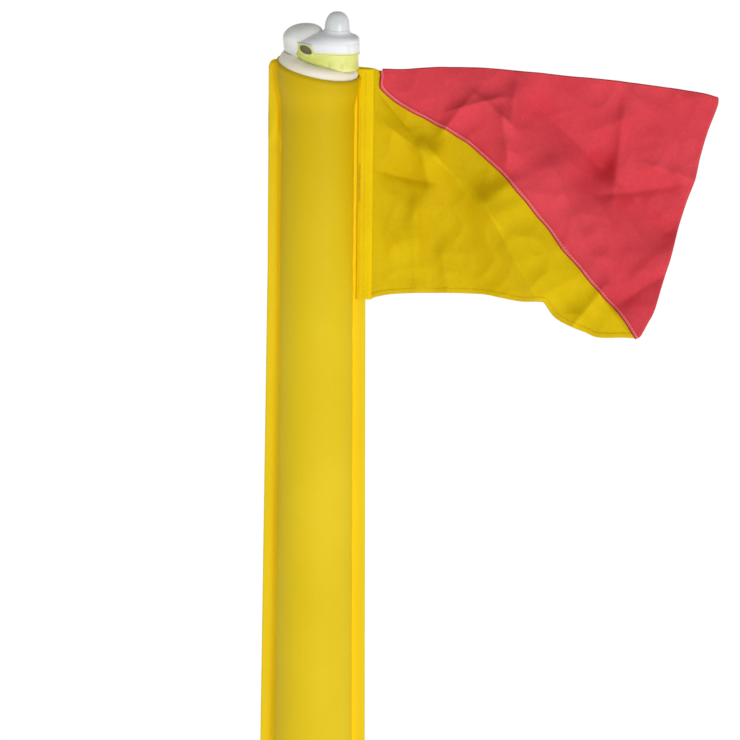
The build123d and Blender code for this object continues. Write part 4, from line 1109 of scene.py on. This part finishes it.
black_moulding = moulded_finish(
    "black_moulding", (38, 38, 40), (54, 54, 56), 0.40, 620.0, 0.00010, 0.0, "valve_saddle", "inflator_body"
)
finish_node(black_rubber, "inner_washer", "outer_washer", "cylinder_seal")
metal_finish(
    "nickel_plating", (190, 186, 176), (216, 212, 202), 0.14, (1, 0.3, 1), 520.0, 0.00003,
    "inflator_stem", "cap_nut", "pin_seat",
)
moulded_finish("lever_plastic", (34, 34, 36), (52, 52, 55), 0.34, 760.0, 0.00008, 0.1, "firing_lever")
tab_red = moulded_finish("tab_red", (186, 32, 26), (210, 46, 36), 0.24, 700.0, 0.00005, 0.3, "pull_tab")
moulded_finish("clip_green", (28, 138, 62), (42, 160, 78), 0.24, 700.0, 0.00005, 0.3, "status_clip")
metal_finish(
    "turned_steel", (186, 186, 185), (212, 212, 210), 0.16, (1, 8, 1), 420.0, 0.00003,
    "lever_pin", "tab_rivet", "firing_pin",
)
spring_wire = metal_finish("spring_wire", (150, 150, 150), (182, 182, 180), 0.24, (1, 1, 1), 900.0, 0.00003)


def pressed_spring(name, node):
    """A coil spring carried over from its CAD part as a piece of its own in spring wire."""
    shape = bmesh.new()
    shape.from_mesh(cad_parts[node].data)
    bmesh.ops.remove_doubles(shape, verts=shape.verts, dist=1e-6)
    made = make_piece(name, shape, spring_wire)
    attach(made, "pole")
    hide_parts(node)
    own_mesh(made)


pressed_spring("pin_spring_coil", "pin_spring")

cylinder_steel, steel = new_material("cylinder_steel")
place = steel.place()
spangle = steel.node("TexVoronoi", None, {"Vector": place, "Scale": 260.0}, output=0)
dull = steel.speckle(place, 60.0, 5.0)
mottle = (spangle * 0.12 + dull * 0.88).between(0.30, 0.66)
tint = mottle.blend(colour(164, 166, 168), colour(190, 192, 194))
surface(
    steel, spangle, 0.00002, Base_Color=tint, Metallic=0.9, Roughness=0.28 + dull * 0.2,
)
finish_node(cylinder_steel, "gas_cylinder")
cap_yellow = moulded_finish(
    "cap_yellow", (222, 178, 12), (238, 198, 26), 0.26, 700.0, 0.00006, 0.25, "bobbin_cap"
)
moulded_finish(
    "pressed_paper", (206, 198, 178), (226, 220, 204), 0.72, 1100.0, 0.00016, 0.0, "water_bobbin"
)

# ------------------------------------------------------------------ mouth valve
# A short black tube on its own patch, for topping up by breath. A red poppet on a spring keeps
# it shut, and a yellow dust cap with a finger lug snaps over the end.
skin_patch("mouth_valve_patch", "mouth_patch", 0.0220, patch_coat)
finish_node(black_moulding, "mouth_saddle", "mouth_tube", "spring_ring")
finish_node(tab_red, "valve_poppet")
pressed_spring("poppet_spring_coil", "poppet_spring")
finish_node(cap_yellow, "dust_cap")

# ------------------------------------------------------------------ studio
# A pale floor, soft light from the right and the front, and a long lens.
shape = flat_grid(1, 1, 30)
floor_coat, coat = new_material("studio_floor")
surface(
    coat, None, 0, Base_Color=(0.90, 0.90, 0.90, 1), Roughness=0.9,
    Emission_Color=(1, 1, 1, 1), Emission_Strength=0.66,
)
floor = make_piece("studio_floor", shape, floor_coat)

world = bpy.data.worlds.new("studio")
world.use_nodes = True
world.node_tree.nodes["Background"].inputs["Color"].default_value = (1, 1, 1, 1)
world.node_tree.nodes["Background"].inputs["Strength"].default_value = 0.40
bpy.context.scene.world = world
bpy.context.scene.view_settings.view_transform = "Standard"


def soft_light(name, place, aim, size, power):
    """A square studio light that points at a place on the object."""
    lamp = bpy.data.lights.new(name, "AREA")
    lamp.size = size
    lamp.energy = power
    made = bpy.data.objects.new(name, lamp)
    made.location = place
    made.rotation_euler = (Vector(aim) - Vector(place)).to_track_quat("-Z", "Y").to_euler()
    bpy.context.scene.collection.objects.link(made)


soft_light("key_light", place=(1.5, -3.4, 1.5), aim=(0.1, 0, 1.35), size=1.1, power=47)

CAMERA_ELEVATION = radians(12)
CAMERA_DISTANCE = 4.0
CAMERA_ROLL = radians(0.65)
CAMERA_AIM = Vector((0.055, 0, 1.4825))
VIEW_WIDTH = 0.749
camera_data = bpy.data.cameras.new("camera")
camera_data.sensor_width = 36
camera_data.lens = 36 * CAMERA_DISTANCE / VIEW_WIDTH
camera_data.clip_end = 100
camera = bpy.data.objects.new("camera", camera_data)
away = Vector((0, -cos(CAMERA_ELEVATION), sin(CAMERA_ELEVATION)))
camera.location = CAMERA_AIM + away * CAMERA_DISTANCE
facing = (-away).to_track_quat("-Z", "Y").to_matrix() @ Matrix.Rotation(CAMERA_ROLL, 3, "Z")
camera.rotation_euler = facing.to_euler()
bpy.context.scene.collection.objects.link(camera)
bpy.context.scene.camera = camera
